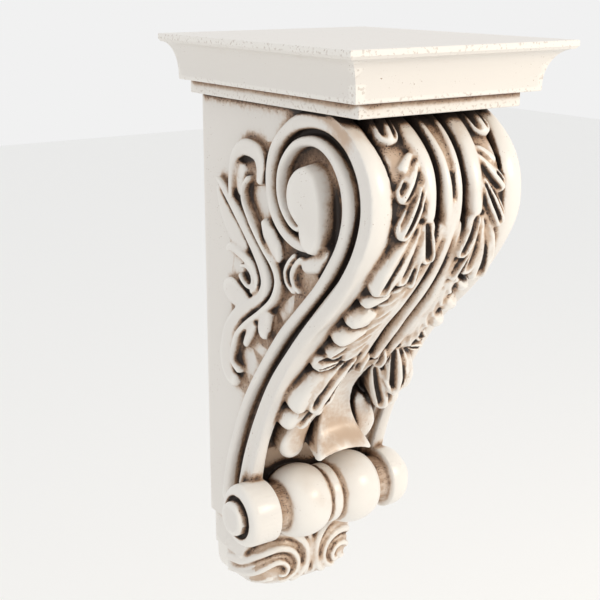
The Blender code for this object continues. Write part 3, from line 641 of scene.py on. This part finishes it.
def flared_leaf(ground):
    """The hollow middle leaf, which flares out over the roll to two points."""
    rows = smooth_line([(214, 6, 10), (238, 9, 3), (257, 10.5, -1), (273, 12.5, 1), (285, 16.5, 9),
                        (293, 21, 19), (297.5, 23, 24), (299.5, 22.6, 22.5), (300, 21.8, 19)], LEAF_ROWS)
    t = np.linspace(-1, 1, LEAF_POINTS)
    back = t[::-1][1:-1:3] * ROOT_SHARE
    rings = []
    for share, (along, half, lift) in zip(np.linspace(0, 1, len(rows)), rows):
        arch = LEAF_BOW * share**4 * (1 - t**2)
        raised = LEAF_RIM * np.abs(t) ** 6 - LEAF_ROUND * np.clip(np.abs(t) * 10 - 9, 0, 1) ** 2
        across = np.r_[half * t, half * back]
        lifts = np.r_[lift + raised, np.full(len(back), -FRONT_ROOT)]
        rings.append(ground.front(across, np.r_[along - arch, np.full(len(back), along)], lifts))
    return [loft(np.array(rings))]


def lower_leaves(ground):
    """The round and slotted lobes and the curls of the last tier, above the roll."""
    front_lobe = ground.front_lobe
    return both(
        front_lobe([(27, 207), (37, 209), (44, 214)], [4.5, 7, 6.4], [11, 12, 11], [3, 3, 3], 3, 0.8),
        front_lobe([(25, 212), (36, 227), (43, 243), (43, 256)], [4, 6.6, 7, 6.4], [10, 13, 15, 15],
                   [2, 4, 6, 7]),
        front_lobe([(16, 202), (24, 218), (31, 237), (34, 254)], [3.4, 8, 10, 7], [12, 16, 19, 19.5],
                   [6, 9, 12, 14], 2, 0.95),
        front_lobe([(24, 240), (35, 254), (42, 266), (43, 276)], [3.5, 6.4, 7, 6.6], [7, 10.5, 12, 11],
                   [2, 3, 3, 3]),
        front_lobe([(14, 226), (24, 246), (32, 262), (36, 275)], [4, 7.6, 8.8, 6.4], [8, 12.5, 14.5, 13.5],
                   [3, 6, 8, 8], 2, 0.95),
        front_lobe([(20, 268), (27, 285), (30, 298), (27, 310)], [4, 8, 10.5, 8.6], [1, 4, 6, 6],
                   [-2, 0, 2, 2]),
        front_lobe([(6, 203), (9, 212), (8, 222)], [4, 5.6, 5], [13, 15, 15], 8, 2, 0.7),
    )


def roll_end(roll, length, rounding):
    """Outline of one end of the roll, as (x, radius): a rounded drum with a button in a shallow cup."""
    start = roll.ball_offset + roll.ball_half_length + roll.neck_length
    end = start + length
    tip = end + roll.button_length
    button = roll.button_radius
    flat = max(roll.end_radius - rounding, button + roll.cup_width)
    across = roll.end_radius - flat
    outline = [(start, roll.neck_radius)]
    outline += [(start + along, roll.end_radius - inward) for along, inward in ROLL_EDGE]
    outline += [
        (end - rounding * (1 - np.sin(a)), roll.end_radius - across * (1 - np.cos(a)))
        for a in np.linspace(0, np.pi / 2, END_STEPS)
    ]
    floor = end - roll.cup_depth
    outline += [(floor, button + roll.cup_width - CUP_SLOPE), (floor, button)]
    return outline + [(tip - along, button - inward) for along, inward in BUTTON_EDGE]


def turned_roll(ground):
    """The turned roll at the foot, about an axis across the corbel."""
    roll = bpy.context.scene.corbel_roll
    ring, neck = roll.ring_radius, roll.neck_radius
    middle = [(roll.ring_half_length * along, ring * share) for along, share in RING_EDGE]
    middle += [
        (roll.ball_offset + roll.ball_half_length * t, neck + (roll.ball_radius - neck) * np.sqrt(1 - t * t))
        for t in -np.cos(np.linspace(0, np.pi, BALL_STEPS))
    ]
    left = middle + roll_end(roll, roll.drum_length, roll.drum_round)
    right = middle + roll_end(roll, roll.bun_length, roll.bun_round)
    outline = [(-x, r) for x, r in left[:0:-1]] + right
    angle = np.linspace(0, 2 * np.pi, TURN_STEPS, endpoint=False)
    rings = [
        in_space(np.full(len(angle), x), roll.axis_reach + r * np.cos(angle),
                 roll.axis_drop - r * np.sin(angle))
        for x, r in outline
    ]
    return [loft(np.array(rings))]


def leaf_drop(ground):
    """The rounded leaf drop under the roll, with a scroll on each half."""
    under = ground.under
    power = 2 / under.squareness
    turns = np.linspace(-np.pi / 2, np.pi / 2, DROP_STEPS)[1:-1]
    angle = np.linspace(0, 2 * np.pi, TURN_STEPS, endpoint=False)
    cosine, sine = (np.sign(v) * np.abs(v) ** power for v in (np.cos(angle), np.sin(angle)))
    depth = np.where(sine > 0, 2 * HIGH.z - under.centre - under.relief, under.rise)
    rings = []
    for turn in turns:
        wide = np.sign(turn) * np.abs(np.sin(turn)) ** power * under.half_width
        girth = np.cos(turn) ** power
        reach, drop = girth * cosine * under.reach, under.centre + girth * sine * depth
        rings.append(in_space(np.full(len(angle), wide), reach, drop))
    outer = [(49, 374), (42, 363), (29, 358), (15, 360), (6, 368), (4, 380), (8, 391), (16, 398)]
    second = [(49, 386), (42, 375), (31, 368), (20, 369), (13, 376), (12, 386), (19, 394), (26, 396)]
    third = [(48, 395), (40, 386), (31, 379), (24, 379), (20, 384), (22, 389), (27, 388.5)]
    drop_lobe = ground.drop_lobe
    return [loft(np.array(rings))] + both(
        drop_lobe(outer, [3, 3.6, 3.6, 3.2], [3, 4.5, 4, 2], -2),
        drop_lobe(second, [2.6, 3.2, 3.2, 2.6], [2.5, 4, 3, 1.6], -2),
        drop_lobe(third, [2.4, 2.8, 2.4], [2, 3.5, 2.5], -2),
        drop_lobe([(42, 398), (35, 393), (29, 392)], 2.2, [1, 2, 1], -2),
        drop_lobe([(0.5, 356), (0.8, 374), (4, 396)], [2.4, 2.8, 2.2], [1, 3, 1.5], -2),
    )


def square_cap():
    """The square cap: a lip, a hollow cove and a narrow band, run on behind the wall plane."""
    cap = bpy.context.scene.corbel_cap
    half = HIGH.x - cap.overhang
    band_reach = -LOW.y - cap.overhang
    soft = CAP_EDGE
    start = cap.overhang - COVE_FRONT
    foot = cap.overhang - cap.cove_inset
    rise = cap.cove_height - COVE_TRIM
    cove_foot = cap.lip_height + cap.cove_height
    under = cove_foot + cap.band_height
    steps = [(cap.overhang - soft, 0), (cap.overhang, soft), (cap.overhang, cap.lip_height - soft)]
    steps += [(cap.overhang - soft, cap.lip_height)]
    steps += [
        (start - (start - foot) * np.sin(a), cap.lip_height + COVE_TOP + rise * (1 - np.cos(a)))
        for a in np.linspace(0, np.pi / 2, COVE_STEPS)
    ]
    steps += [(foot, cove_foot - soft), (foot - soft, cove_foot), (0, cove_foot)]
    steps += [(0, under - soft), (-soft, under)]
    rings = []
    for out, down in steps:
        x, reach = half + out, band_reach + out
        corners = np.array([(-x, -BEHIND), (-x, reach), (x, reach), (x, -BEHIND)])
        rings.append(in_space(corners[:, 0], corners[:, 1], np.full(4, down)))
    return loft(np.array(rings))


@contextmanager
def edited(mesh):
    """Open a mesh for editing, and write it back."""
    edit = bmesh.new()
    edit.from_mesh(mesh)
    yield edit
    edit.to_mesh(mesh)
    edit.free()


def joined_mesh(name, bodies):
    """One mesh that holds several closed bodies."""
    points, faces, start = [], [], 0
    for body_points, body_faces in bodies:
        points.append(body_points)
        faces += [[start + i for i in face] for face in body_faces]
        start += len(body_points)
    mesh = bpy.data.meshes.new(name)
    mesh.from_pydata(np.vstack(points).tolist(), [], faces)
    with edited(mesh) as edit:
        bmesh.ops.recalc_face_normals(edit, faces=edit.faces)
    return mesh


def placed(name, mesh):
    """Add a mesh to the scene as a named object."""
    item = bpy.data.objects.new(name, mesh)
    bpy.context.scene.collection.objects.link(item)
    return item


def keep_largest(mesh):
    """Delete every region of a mesh that the largest one isn't joined to."""
    with edited(mesh) as edit:
        waiting = set(edit.faces)
        regions = []
        while waiting:
            reached = [waiting.pop()]
            for face in reached:
                beside = {other for edge in face.edges for other in edge.link_faces} & waiting
                waiting -= beside
                reached.extend(beside)
            regions.append(reached)
        regions.sort(key=len)
        bmesh.ops.delete(edit, geom=[face for region in regions[:-1] for face in region], context="FACES")


def settle(item):
    """Turn an object's modifiers into its plain mesh."""
    seen = item.evaluated_get(bpy.context.evaluated_depsgraph_get())
    mesh = bpy.data.meshes.new_from_object(seen)
    item.modifiers.clear()
    item.data = mesh


def vein_lines(ground):
    """Lines that hover over the carving, each point with the way down to it."""
    points, ways, edges = [], [], []
    for surface, paths in ((ground.front, LEAF_VEINS), (ground.drop, DROP_VEINS)):
        for path in paths:
            across, along = smooth_line(path, VEIN_POINTS).T
            for side in (-1, 1):
                foot = surface(side * across, along, np.zeros(VEIN_POINTS))
                top = surface(side * across, along, np.full(VEIN_POINTS, VEIN_LIFT))
                first = len(points)
                edges += [(i, i + 1) for i in range(first, first + VEIN_POINTS - 1)]
                points += top.tolist()
                ways.append((foot - top) / np.linalg.norm(foot - top, axis=1)[:, None])
    mesh = bpy.data.meshes.new("veins")
    mesh.from_pydata(points, edges, [])
    mesh.attributes.new("inward", "FLOAT_VECTOR", "POINT").data.foreach_set("vector", np.ravel(ways))
    return mesh


def vein_tree():
    """Lay lines on a surface and grow a tapering round rib along each."""
    tree = bpy.data.node_groups.new("surface_veins", "GeometryNodeTree")
    inputs = (("Lines", "Geometry"), ("Surface", "Object"), ("Radius", "Float"), ("Sink", "Float"),
              ("Thinnest", "Float"), ("Seed", "Int"), ("Sides", "Int"), ("Material", "Material"))
    for name, kind in inputs:
        tree.interface.new_socket(name, in_out="INPUT", socket_type="NodeSocket" + kind)
    tree.interface.new_socket("Ribs", in_out="OUTPUT", socket_type="NodeSocketGeometry")
    given = tree.nodes.new("NodeGroupInput").outputs
    body = node(tree, "GeometryNodeObjectInfo", (0, given["Surface"])).outputs["Geometry"]
    inward = node(tree, "GeometryNodeInputNamedAttribute", data_type="FLOAT_VECTOR", in_0="inward").outputs[0]
    place = node(tree, "GeometryNodeInputPosition").outputs[0]
    hit = node(tree, "GeometryNodeRaycast", (0, body), (2, place), (3, inward), in_4=0.08).outputs
    sunk = node(tree, "ShaderNodeVectorMath", (0, inward), (3, given["Sink"]), operation="SCALE").outputs[0]
    laid = node(tree, "GeometryNodeSetPosition", (0, given["Lines"]), (1, hit[0]), (2, hit[1]), (3, sunk))
    curve = node(tree, "GeometryNodeMeshToCurve", (0, laid.outputs[0])).outputs[0]
    share = node(tree, "GeometryNodeSplineParameter").outputs[0]
    from_end = node(tree, "ShaderNodeMath", (0, share), operation="PINGPONG", in_1=0.5).outputs[0]
    taper = node(tree, "ShaderNodeMapRange", (0, from_end), in_2=0.3, in_3=0.4).outputs[0]
    number = node(tree, "GeometryNodeCurveOfPoint").outputs[0]
    uneven = node(tree, "FunctionNodeRandomValue", (2, given["Thinnest"]), (7, number), (8, given["Seed"]))
    thick = node(tree, "ShaderNodeMath", (0, taper), (1, uneven.outputs[1]), operation="MULTIPLY").outputs[0]
    thick = node(tree, "ShaderNodeMath", (0, thick), (1, given["Radius"]), operation="MULTIPLY").outputs[0]
    circle = node(tree, "GeometryNodeCurvePrimitiveCircle", (0, given["Sides"]), in_4=1.0).outputs[0]
    rib = node(tree, "GeometryNodeCurveToMesh", (0, curve), (1, circle), (2, thick), in_3=True).outputs[0]
    rib = node(tree, "GeometryNodeRealizeInstances", (0, rib)).outputs[0]
    rib = node(tree, "GeometryNodeSetMaterial", (0, rib), (2, given["Material"])).outputs[0]
    tree.links.new(rib, tree.nodes.new("NodeGroupOutput").inputs[0])
    return tree


def add_veins(item, ground, material):
    """Grow the fine ribs on an object's surface and add them to its mesh."""
    sizes = bpy.context.scene.corbel_veins
    veins = placed("veins", vein_lines(ground))
    grow = veins.modifiers.new("grow", "NODES")
    grow.node_group = vein_tree()
    keys = {socket.name: socket.identifier for socket in grow.node_group.interface.items_tree}
    values = {"Surface": item, "Radius": sizes.radius, "Sink": sizes.sink, "Thinnest": sizes.thinnest,
              "Seed": sizes.seed, "Sides": sizes.sides, "Material": material}
    for name, value in values.items():
        grow[keys[name]] = value
    settle(veins)
    with edited(item.data) as edit:
        edit.from_mesh(veins.data)
    bpy.data.objects.remove(veins, do_unlink=True)


def fuse(item, pitch, triangles):
    """Melt an object's overlapping bodies into one skin, as a mould's cavity is one surface."""
    melt = item.modifiers.new("melt", "REMESH")
    melt.mode = "VOXEL"
    melt.voxel_size = pitch
    settle(item)
    keep_largest(item.data)
    ease = item.modifiers.new("ease", "SMOOTH")
    ease.factor = 0.5
    ease.iterations = 2
    thin = item.modifiers.new("thin", "DECIMATE")
    thin.ratio = min(1, triangles / sum(len(face.vertices) - 2 for face in item.data.polygons))
    settle(item)


def add_body(item, name, body):
    """Join an object with a crisp closed body."""
    other = placed(name, joined_mesh(name, [body]))
    step = item.modifiers.new(name, "BOOLEAN")
    step.operation = "UNION"
    step.solver = "EXACT"
    step.object = other
    settle(item)
    bpy.data.objects.remove(other, do_unlink=True)


def cut_at_wall(mesh):
    """Cut the back flat at the wall plane and close it."""
    with edited(mesh) as edit:
        everything = [*edit.verts, *edit.edges, *edit.faces]
        cut = bmesh.ops.bisect_plane(edit, geom=everything, dist=TOUCHING, plane_co=(0, 0, 0),
                                     plane_no=(0, 1, 0), clear_outer=True)["geom_cut"]
        bmesh.ops.edgeloop_fill(edit, edges=[rim for rim in cut if isinstance(rim, bmesh.types.BMEdge)])
        bmesh.ops.recalc_face_normals(edit, faces=edit.faces)


def grid_flats(mesh, cell):
    """Cut the large faces into a grid, so that flat stretches have points to carry the glaze and the painted
    shade.
    """
    with edited(mesh) as edit:
        large = [face for face in edit.faces if face.calc_perimeter() > LARGE_RIM * cell]
        edges = [edge for face in large for edge in face.edges]
        corners = [corner for face in large for corner in face.verts]
        pieces = list(dict.fromkeys([*large, *edges, *corners]))
        for axis, way in enumerate(np.eye(3)):
            for place in np.arange(LOW[axis] + cell / 2, HIGH[axis], cell):
                pieces = bmesh.ops.bisect_plane(edit, geom=pieces, dist=TOUCHING, plane_co=way * place,
                                                plane_no=way)["geom"]
        bmesh.ops.dissolve_degenerate(edit, edges=edit.edges, dist=TOUCHING)
        bmesh.ops.triangulate(edit, faces=edit.faces)
        same = {}
        for face in edit.faces:
            same.setdefault(frozenset(face.verts), []).append(face)
        flaps = [face for faces in same.values() if len(faces) > 1 for face in faces]
        bmesh.ops.delete(edit, geom=flaps, context="FACES")


def mark_hollows(mesh):
    """Store how enclosed each vertex is, near by and farther off, and how creased it is, for the glaze and
    the painted shade.
    """
    count = len(mesh.vertices)
    points, normals = np.empty(count * 3), np.empty(count * 3)
    mesh.vertices.foreach_get("co", points)
    mesh.vertices.foreach_get("normal", normals)
    points, normals = points.reshape(-1, 3), normals.reshape(-1, 3)
    tree = BVHTree.FromPolygons(points.tolist(), [list(face.vertices) for face in mesh.polygons])
    spot = np.arange(HOLLOW_RAYS) + 0.5
    height = 1 - spot / HOLLOW_RAYS * RAY_FAN
    turn = spot * np.pi * (3 - np.sqrt(5))
    flat = np.sqrt(1 - height**2)
    local = np.stack([flat * np.cos(turn), flat * np.sin(turn), height], 1)
    helper = np.where(np.abs(normals[:, 2:]) < 0.8, [[0.0, 0.0, 1.0]], [[1.0, 0.0, 0.0]])
    side = np.cross(helper, normals)
    side /= np.linalg.norm(side, axis=1)[:, None]
    other = np.cross(normals, side)
    starts = (points + normals * RAY_START).tolist()
    distance = np.full((HOLLOW_RAYS, count), HOLLOW_REACH)
    for row, (across, along, out) in zip(distance, local):
        ways = (side * across + other * along + normals * out).tolist()
        for i, (start, way) in enumerate(zip(starts, ways)):
            row[i] = tree.ray_cast(start, way, HOLLOW_REACH)[3] or HOLLOW_REACH
    marks = {"hollow": (1 - distance / HOLLOW_REACH).mean(0)}
    marks["nook"] = np.clip(1 - distance / NOOK_REACH, 0, 1).mean(0)
    edges = np.empty(len(mesh.edges) * 2, int)
    mesh.edges.foreach_get("vertices", edges)
    a, b = edges.reshape(-1, 2).T
    links = np.bincount(a, minlength=count) + np.bincount(b, minlength=count)

    def averaged(values):
        total = np.bincount(a, values[b], count) + np.bincount(b, values[a], count)
        return total / np.maximum(links, 1)

    mean = np.stack([averaged(axis) for axis in points.T], 1)
    reach = averaged(np.linalg.norm(points - mean, axis=1)) + CREASE_EDGE
    marks["crease"] = averaged(np.einsum("ij,ij->i", mean - points, normals) / reach)
    for name, values in marks.items():
        layer = mesh.attributes.new(name, "FLOAT", "POINT")
        layer.data.foreach_set("value", (0.5 * values + 0.5 * averaged(values)).astype(np.float32))


def node(tree, kind, *links, **values):
    """Add a node, set its values by socket number or property, and link (socket, source) pairs."""
    made = tree.nodes.new(kind)
    for key, value in values.items():
        if key.startswith("in_"):
            made.inputs[int(key[3:])].default_value = value
        else:
            setattr(made, key, value)
    for number, source in links:
        tree.links.new(source, made.inputs[number])
    return made


def step_up(tree, source, low, high):
    """A soft step from 0 to 1 as a value goes from low to high."""
    return node(tree, "ShaderNodeMapRange", (0, source), interpolation_type="SMOOTHSTEP",
                in_1=low, in_2=high).outputs[0]


def product(tree, a, b):
    """One value times another."""
    return node(tree, "ShaderNodeMath", (0, a), (1, b), operation="MULTIPLY").outputs[0]


def above(tree, value, limit):
    """1 where a value is above a limit, else 0."""
    return node(tree, "ShaderNodeMath", (0, value), (1, limit), operation="GREATER_THAN").outputs[0]


def noise(tree, place, scale, detail):
    """A cloudy value between 0 and 1."""
    return node(tree, "ShaderNodeTexNoise", (0, place), in_2=scale, in_3=float(detail)).outputs[0]


def sum_of(tree, a, b, share):
    """The value a plus a share of b."""
    return node(tree, "ShaderNodeMath", (0, b), (2, a), operation="MULTIPLY_ADD", in_1=share).outputs[0]


def glaze_and_painted_light_group():
    """Where the glaze, the painted shade and the painted highlight lie: thin and thick glaze with painted
    shade, near-black in the nooks as glaze and painted shadow, specks, a painted highlight on convex edges,
    and chips.
    """
    group = bpy.data.node_groups.new("glaze_painted_shade_and_highlight", "ShaderNodeTree")
    for name, default in (("Amount", 1.0), ("Wash", 0.0), ("Speck Limit", 0.66), ("Chips", 0.0)):
        socket = group.interface.new_socket(name, in_out="INPUT", socket_type="NodeSocketFloat")
        socket.default_value = default
    for name in ("Film_And_Shade", "Stain", "Nook_Shadow_And_Glaze", "Specks", "Edge_Highlight_And_Wear", "Chipped"):
        group.interface.new_socket(name, in_out="OUTPUT", socket_type="NodeSocketFloat")
    given = group.nodes.new("NodeGroupInput")
    result = group.nodes.new("NodeGroupOutput")
    place = node(group, "ShaderNodeTexCoord").outputs["Object"]
    hollow, nook, crease = (
        node(group, "ShaderNodeAttribute", attribute_name=name).outputs["Fac"]
        for name in ("hollow", "nook", "crease")
    )
    cloud = noise(group, place, CLOUD_SCALE, 4)
    grain = noise(group, place, GRAIN_SCALE, 3)
    dust = noise(group, place, DUST_SCALE, 2)
    # How enclosed a point is sets how much glaze and painted shade it gets
    deep = sum_of(group, nook, hollow, 0.35)
    smudged, filled = given.outputs[1], given.outputs[0]
    for centre, radius, raised, hollowed in SMUDGES:
        away = node(group, "ShaderNodeVectorMath", (0, place), operation="DISTANCE", in_1=centre).outputs[1]
        here = step_up(group, away, radius, radius * 0.3)
        smudged = sum_of(group, smudged, here, raised)
        filled = sum_of(group, filled, here, hollowed)
    deep = sum_of(group, product(group, deep, filled), crease, 0.22)
    rough = sum_of(group, deep, cloud, 0.16)
    rough = sum_of(group, rough, grain, 0.14)
    wash_and_shade = sum_of(group, rough, product(group, cloud, smudged), 0.30)
    # Glaze in thin and thick layers and near-black in the nooks, which also paint the shade and shadow of the
    # hollows
    film_and_shade = step_up(group, wash_and_shade, *FILM_AND_SHADE)
    stain_and_shade = step_up(group, rough, *STAIN_AND_SHADE)
    nook_shadow_and_glaze = step_up(group, rough, *NOOK_SHADOW_AND_GLAZE)
    specks = product(group, step_up(group, rough, *SPECKLED), above(group, dust, given.outputs[2]))
    # Painted highlight on convex edges, where the chips also lie
    edge_highlight_and_wear = step_up(group, crease, *EDGE_HIGHLIGHT_AND_WEAR)
    chips = product(group, step_up(group, noise(group, place, CHIP_SCALE, 5), *CHIPPED), edge_highlight_and_wear)
    chips = product(group, chips, given.outputs[3])
    for number, source in enumerate((film_and_shade, stain_and_shade, nook_shadow_and_glaze, specks, edge_highlight_and_wear, chips)):
        group.links.new(source, result.inputs[number])
    return group


def grain_group():
    """The skin of brushed paint: a fine swell and small pits, as one height."""
    group = bpy.data.node_groups.new("paint_skin", "ShaderNodeTree")
    group.interface.new_socket("Pit Limit", in_out="INPUT", socket_type="NodeSocketFloat").default_value = 0.7
    for name in ("Height", "Pits"):
        group.interface.new_socket(name, in_out="OUTPUT", socket_type="NodeSocketFloat")
    given = group.nodes.new("NodeGroupInput")
    result = group.nodes.new("NodeGroupOutput")
    place = node(group, "ShaderNodeTexCoord").outputs["Object"]
    swell = noise(group, place, SWELL_SCALE, 3)
    fine = noise(group, place, PIT_SCALE, 2)
    patchy = step_up(group, noise(group, place, PATCH_SCALE, 2), *PITTED)
    pits = product(group, above(group, fine, given.outputs[0]), patchy)
    height = sum_of(group, swell, fine, 0.3)
    height = sum_of(group, height, pits, -0.8)
    group.links.new(height, result.inputs[0])
    group.links.new(pits, result.inputs[1])
    return group


def blend(tree, share, below, above):
    """Lay a colour over another by a mask."""
    mix = node(tree, "ShaderNodeMix", (0, share), data_type="RGBA")
    for socket, value in ((mix.inputs[6], below), (mix.inputs[7], above)):
        if isinstance(value, bpy.types.NodeSocket):
            tree.links.new(value, socket)
        else:
            socket.default_value = (*value, 1)
    return mix.outputs[2]


def paint(name, groups, amount, wash, speck_limit, chips):
    """Cream paint with a brown glaze worked into it, painted shade in its hollows and a painted highlight on
    its edges.
    """
    colours = bpy.context.scene.corbel_paint
    material = bpy.data.materials.new(name)
    material.use_nodes = True
    tree = material.node_tree
    shader = tree.nodes["Principled BSDF"]
    # The group gives the glaze, the painted shade and the painted highlight
    glaze = node(tree, "ShaderNodeGroup", node_tree=groups[0], in_0=amount, in_1=wash, in_2=speck_limit,
                 in_3=chips)
    skin = node(tree, "ShaderNodeGroup", node_tree=groups[1], in_0=PIT_LIMIT)
    film_and_shade, stain_and_shade, nook, specks, edge_highlight_and_wear, chipped = glaze.outputs
    # The glaze colours also paint the shade of the hollows
    base = blend(tree, film_and_shade, colours.cream, colours.shade)
    # Painted highlight on the convex edges
    base = blend(tree, edge_highlight_and_wear, base, colours.bright)
    base = blend(tree, stain_and_shade, base, colours.tan)
    # Near-black in the nooks: glaze and painted shadow
    base = blend(tree, nook, base, colours.umber)
    base = blend(tree, specks, base, colours.umber)
    base = blend(tree, chipped, base, colours.tan)
    base = blend(tree, skin.outputs["Pits"], base, colours.tan)
    tree.links.new(base, shader.inputs["Base Color"])
    rough = node(tree, "ShaderNodeMapRange", (0, stain_and_shade), in_3=BARE_ROUGHNESS, in_4=GLAZED_ROUGHNESS)
    tree.links.new(rough.outputs[0], shader.inputs["Roughness"])
    bump = node(tree, "ShaderNodeBump", (2, skin.outputs["Height"]), in_0=0.12, in_1=0.0004)
    tree.links.new(bump.outputs[0], shader.inputs["Normal"])
    return material


class CORBEL_OT_casting(Operator):
    """Carve the casting, fuse it into one skin and paint it."""

    bl_idname = "corbel.casting"
    bl_label = "Casting"

    def execute(self, context):
        scene = context.scene
        fine = scene.corbel_fineness
        shaft = scene.corbel_shaft
        ground = Ground(shaft, scene.corbel_drop, fine)
        carving = [core(ground), panels(ground)]
        for carve in (ribbons, side_scrolls, side_leaves, front_stems, upper_leaves, middle_leaves,
                      lower_leaves, flared_leaf, turned_roll, leaf_drop):
            carving += carve(ground)
        groups = glaze_and_painted_light_group(), grain_group()
        paints = [paint(name, groups, *shares) for name, *shares in FINISHES]
        item = placed("corbel_casting", joined_mesh("corbel_casting", carving))
        add_veins(item, ground, paints[1])
        fuse(item, fine.skin_pitch, fine.triangles)
        add_body(item, "cap", square_cap())
        mesh = item.data
        mesh.name = "corbel_casting"
        cut_at_wall(mesh)
        grid_flats(mesh, fine.flat_cell)
        mark_hollows(mesh)
        mesh.materials.clear()
        for material in paints:
            mesh.materials.append(material)
        cap = scene.corbel_cap
        foot = HIGH.z - cap.lip_height - cap.cove_height - cap.band_height - PART
        middles = np.empty(len(mesh.polygons) * 3)
        mesh.polygons.foreach_get("center", middles)
        x, y, z = np.abs(middles[0::3]), middles[1::3], middles[2::3]
        profile = ground.profile * PART
        front = np.interp(HIGH.z - z, profile[:, 1], profile[:, 0]) - 2 * shaft.field_sink
        leafy = (x < shaft.width / 2 - shaft.ribbon_width * ROOT_SHARE) & (-y > front)
        finish = np.where(z > foot, 2, leafy.astype(int))
        mesh.polygons.foreach_set("material_index", finish.astype(np.int32))
        mesh.shade_smooth()
        mesh.set_sharp_from_angle(angle=SHARP_ANGLE)
        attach(item, "root")
        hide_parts("corbel")
        return {"FINISHED"}


class CORBEL_OT_stage(Operator):
    """Lay the floor, hang the lights and set the camera."""

    bl_idname = "corbel.stage"
    bl_label = "Stage"

    def execute(self, context):
        stage = context.scene.corbel_stage
        floor = bpy.data.meshes.new("floor")
        half, level = FLOOR_HALF, LOW.z - stage.floor_gap
        corners = [(-half, -half, level), (half, -half, level), (half, half, level), (-half, half, level)]
        floor.from_pydata(corners, [], [(0, 1, 2, 3)])
        ground = placed("floor", floor)
        pale = bpy.data.materials.new("pale_floor")
        pale.use_nodes = True
        shader = pale.node_tree.nodes["Principled BSDF"]
        shader.inputs["Base Color"].default_value = (*stage.floor, 1)
        shader.inputs["Roughness"].default_value = 0.9
        floor.materials.append(pale)
        world = bpy.data.worlds.new("studio")
        world.use_nodes = True
        sky = world.node_tree.nodes["Background"]
        sky.inputs["Color"].default_value = (1, 1, 1, 1)
        sky.inputs["Strength"].default_value = stage.sky
        context.scene.world = world
        self.lamp("key", KEY_PLACE, KEY_SIZE, stage.key_power, stage.key_colour)
        self.lamp("fill", FILL_PLACE, FILL_SIZE, stage.fill_power, (1, 1, 1))
        lens = bpy.data.cameras.new("camera")
        lens.sensor_width = 36
        lens.lens = FOCAL_PIXELS / PICTURE_PIXELS * lens.sensor_width
        camera = bpy.data.objects.new("camera", lens)
        context.scene.collection.objects.link(camera)
        camera.location = Vector(CAMERA_PLACE) + Vector((0, 0, HIGH.z))
        turn, tilt = np.radians(CAMERA_TURN), np.radians(CAMERA_TILT)
        back = Vector((np.sin(turn) * np.cos(tilt), -np.cos(turn) * np.cos(tilt), np.sin(tilt)))
        camera.rotation_mode = "QUATERNION"
        camera.rotation_quaternion = back.to_track_quat("Z", "Y")
        context.scene.camera = camera
        context.scene.view_settings.view_transform = "Standard"
        return {"FINISHED"}

    def lamp(self, name, place, size, power, tint):
        """A square soft light that faces the corbel."""
        light = bpy.data.lights.new(name, "AREA")
        light.energy = power
        light.color = tint
        light.size = size
        item = bpy.data.objects.new(name, light)
        bpy.context.scene.collection.objects.link(item)
        item.location = place
        item.rotation_euler = Vector(place).to_track_quat("Z", "Y").to_euler()


class CORBEL_PT_panel(Panel):
    """Lists the corbel's steps and sizes."""

    bl_idname = "CORBEL_PT_panel"
    bl_label = "Corbel"
    bl_space_type = "VIEW_3D"
    bl_region_type = "UI"
    bl_category = "Corbel"

    def draw(self, context):
        for step in STEPS:
            self.layout.operator(step.bl_idname)
        for name, group in GROUPS.items():
            box = self.layout.box()
            box.label(text=group.__doc__)
            for key in group.__annotations__:
                box.prop(getattr(context.scene, name), key)


STEPS = (CORBEL_OT_casting, CORBEL_OT_stage)
GROUPS = {
    "corbel_cap": CorbelCapSizes,
    "corbel_shaft": CorbelShaftSizes,
    "corbel_roll": CorbelRollSizes,
    "corbel_drop": CorbelDropSizes,
    "corbel_veins": CorbelVeins,
    "corbel_fineness": CorbelFineness,
    "corbel_paint": CorbelPaint,
    "corbel_stage": CorbelStage,
}


def register():
    """Register the classes and hang the property groups on the scene."""
    for item in (*GROUPS.values(), *STEPS, CORBEL_PT_panel):
        bpy.utils.register_class(item)
    for name, group in GROUPS.items():
        setattr(bpy.types.Scene, name, PointerProperty(type=group))


def unregister():
    """Take the property groups off the scene and unregister the classes."""
    for name in GROUPS:
        delattr(bpy.types.Scene, name)
    for item in (CORBEL_PT_panel, *STEPS[::-1], *list(GROUPS.values())[::-1]):
        bpy.utils.unregister_class(item)


def main():
    """Build the pieces and the stage."""
    register()
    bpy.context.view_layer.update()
    bpy.ops.corbel.casting()
    bpy.ops.corbel.stage()


if __name__ == "__main__":
    main()
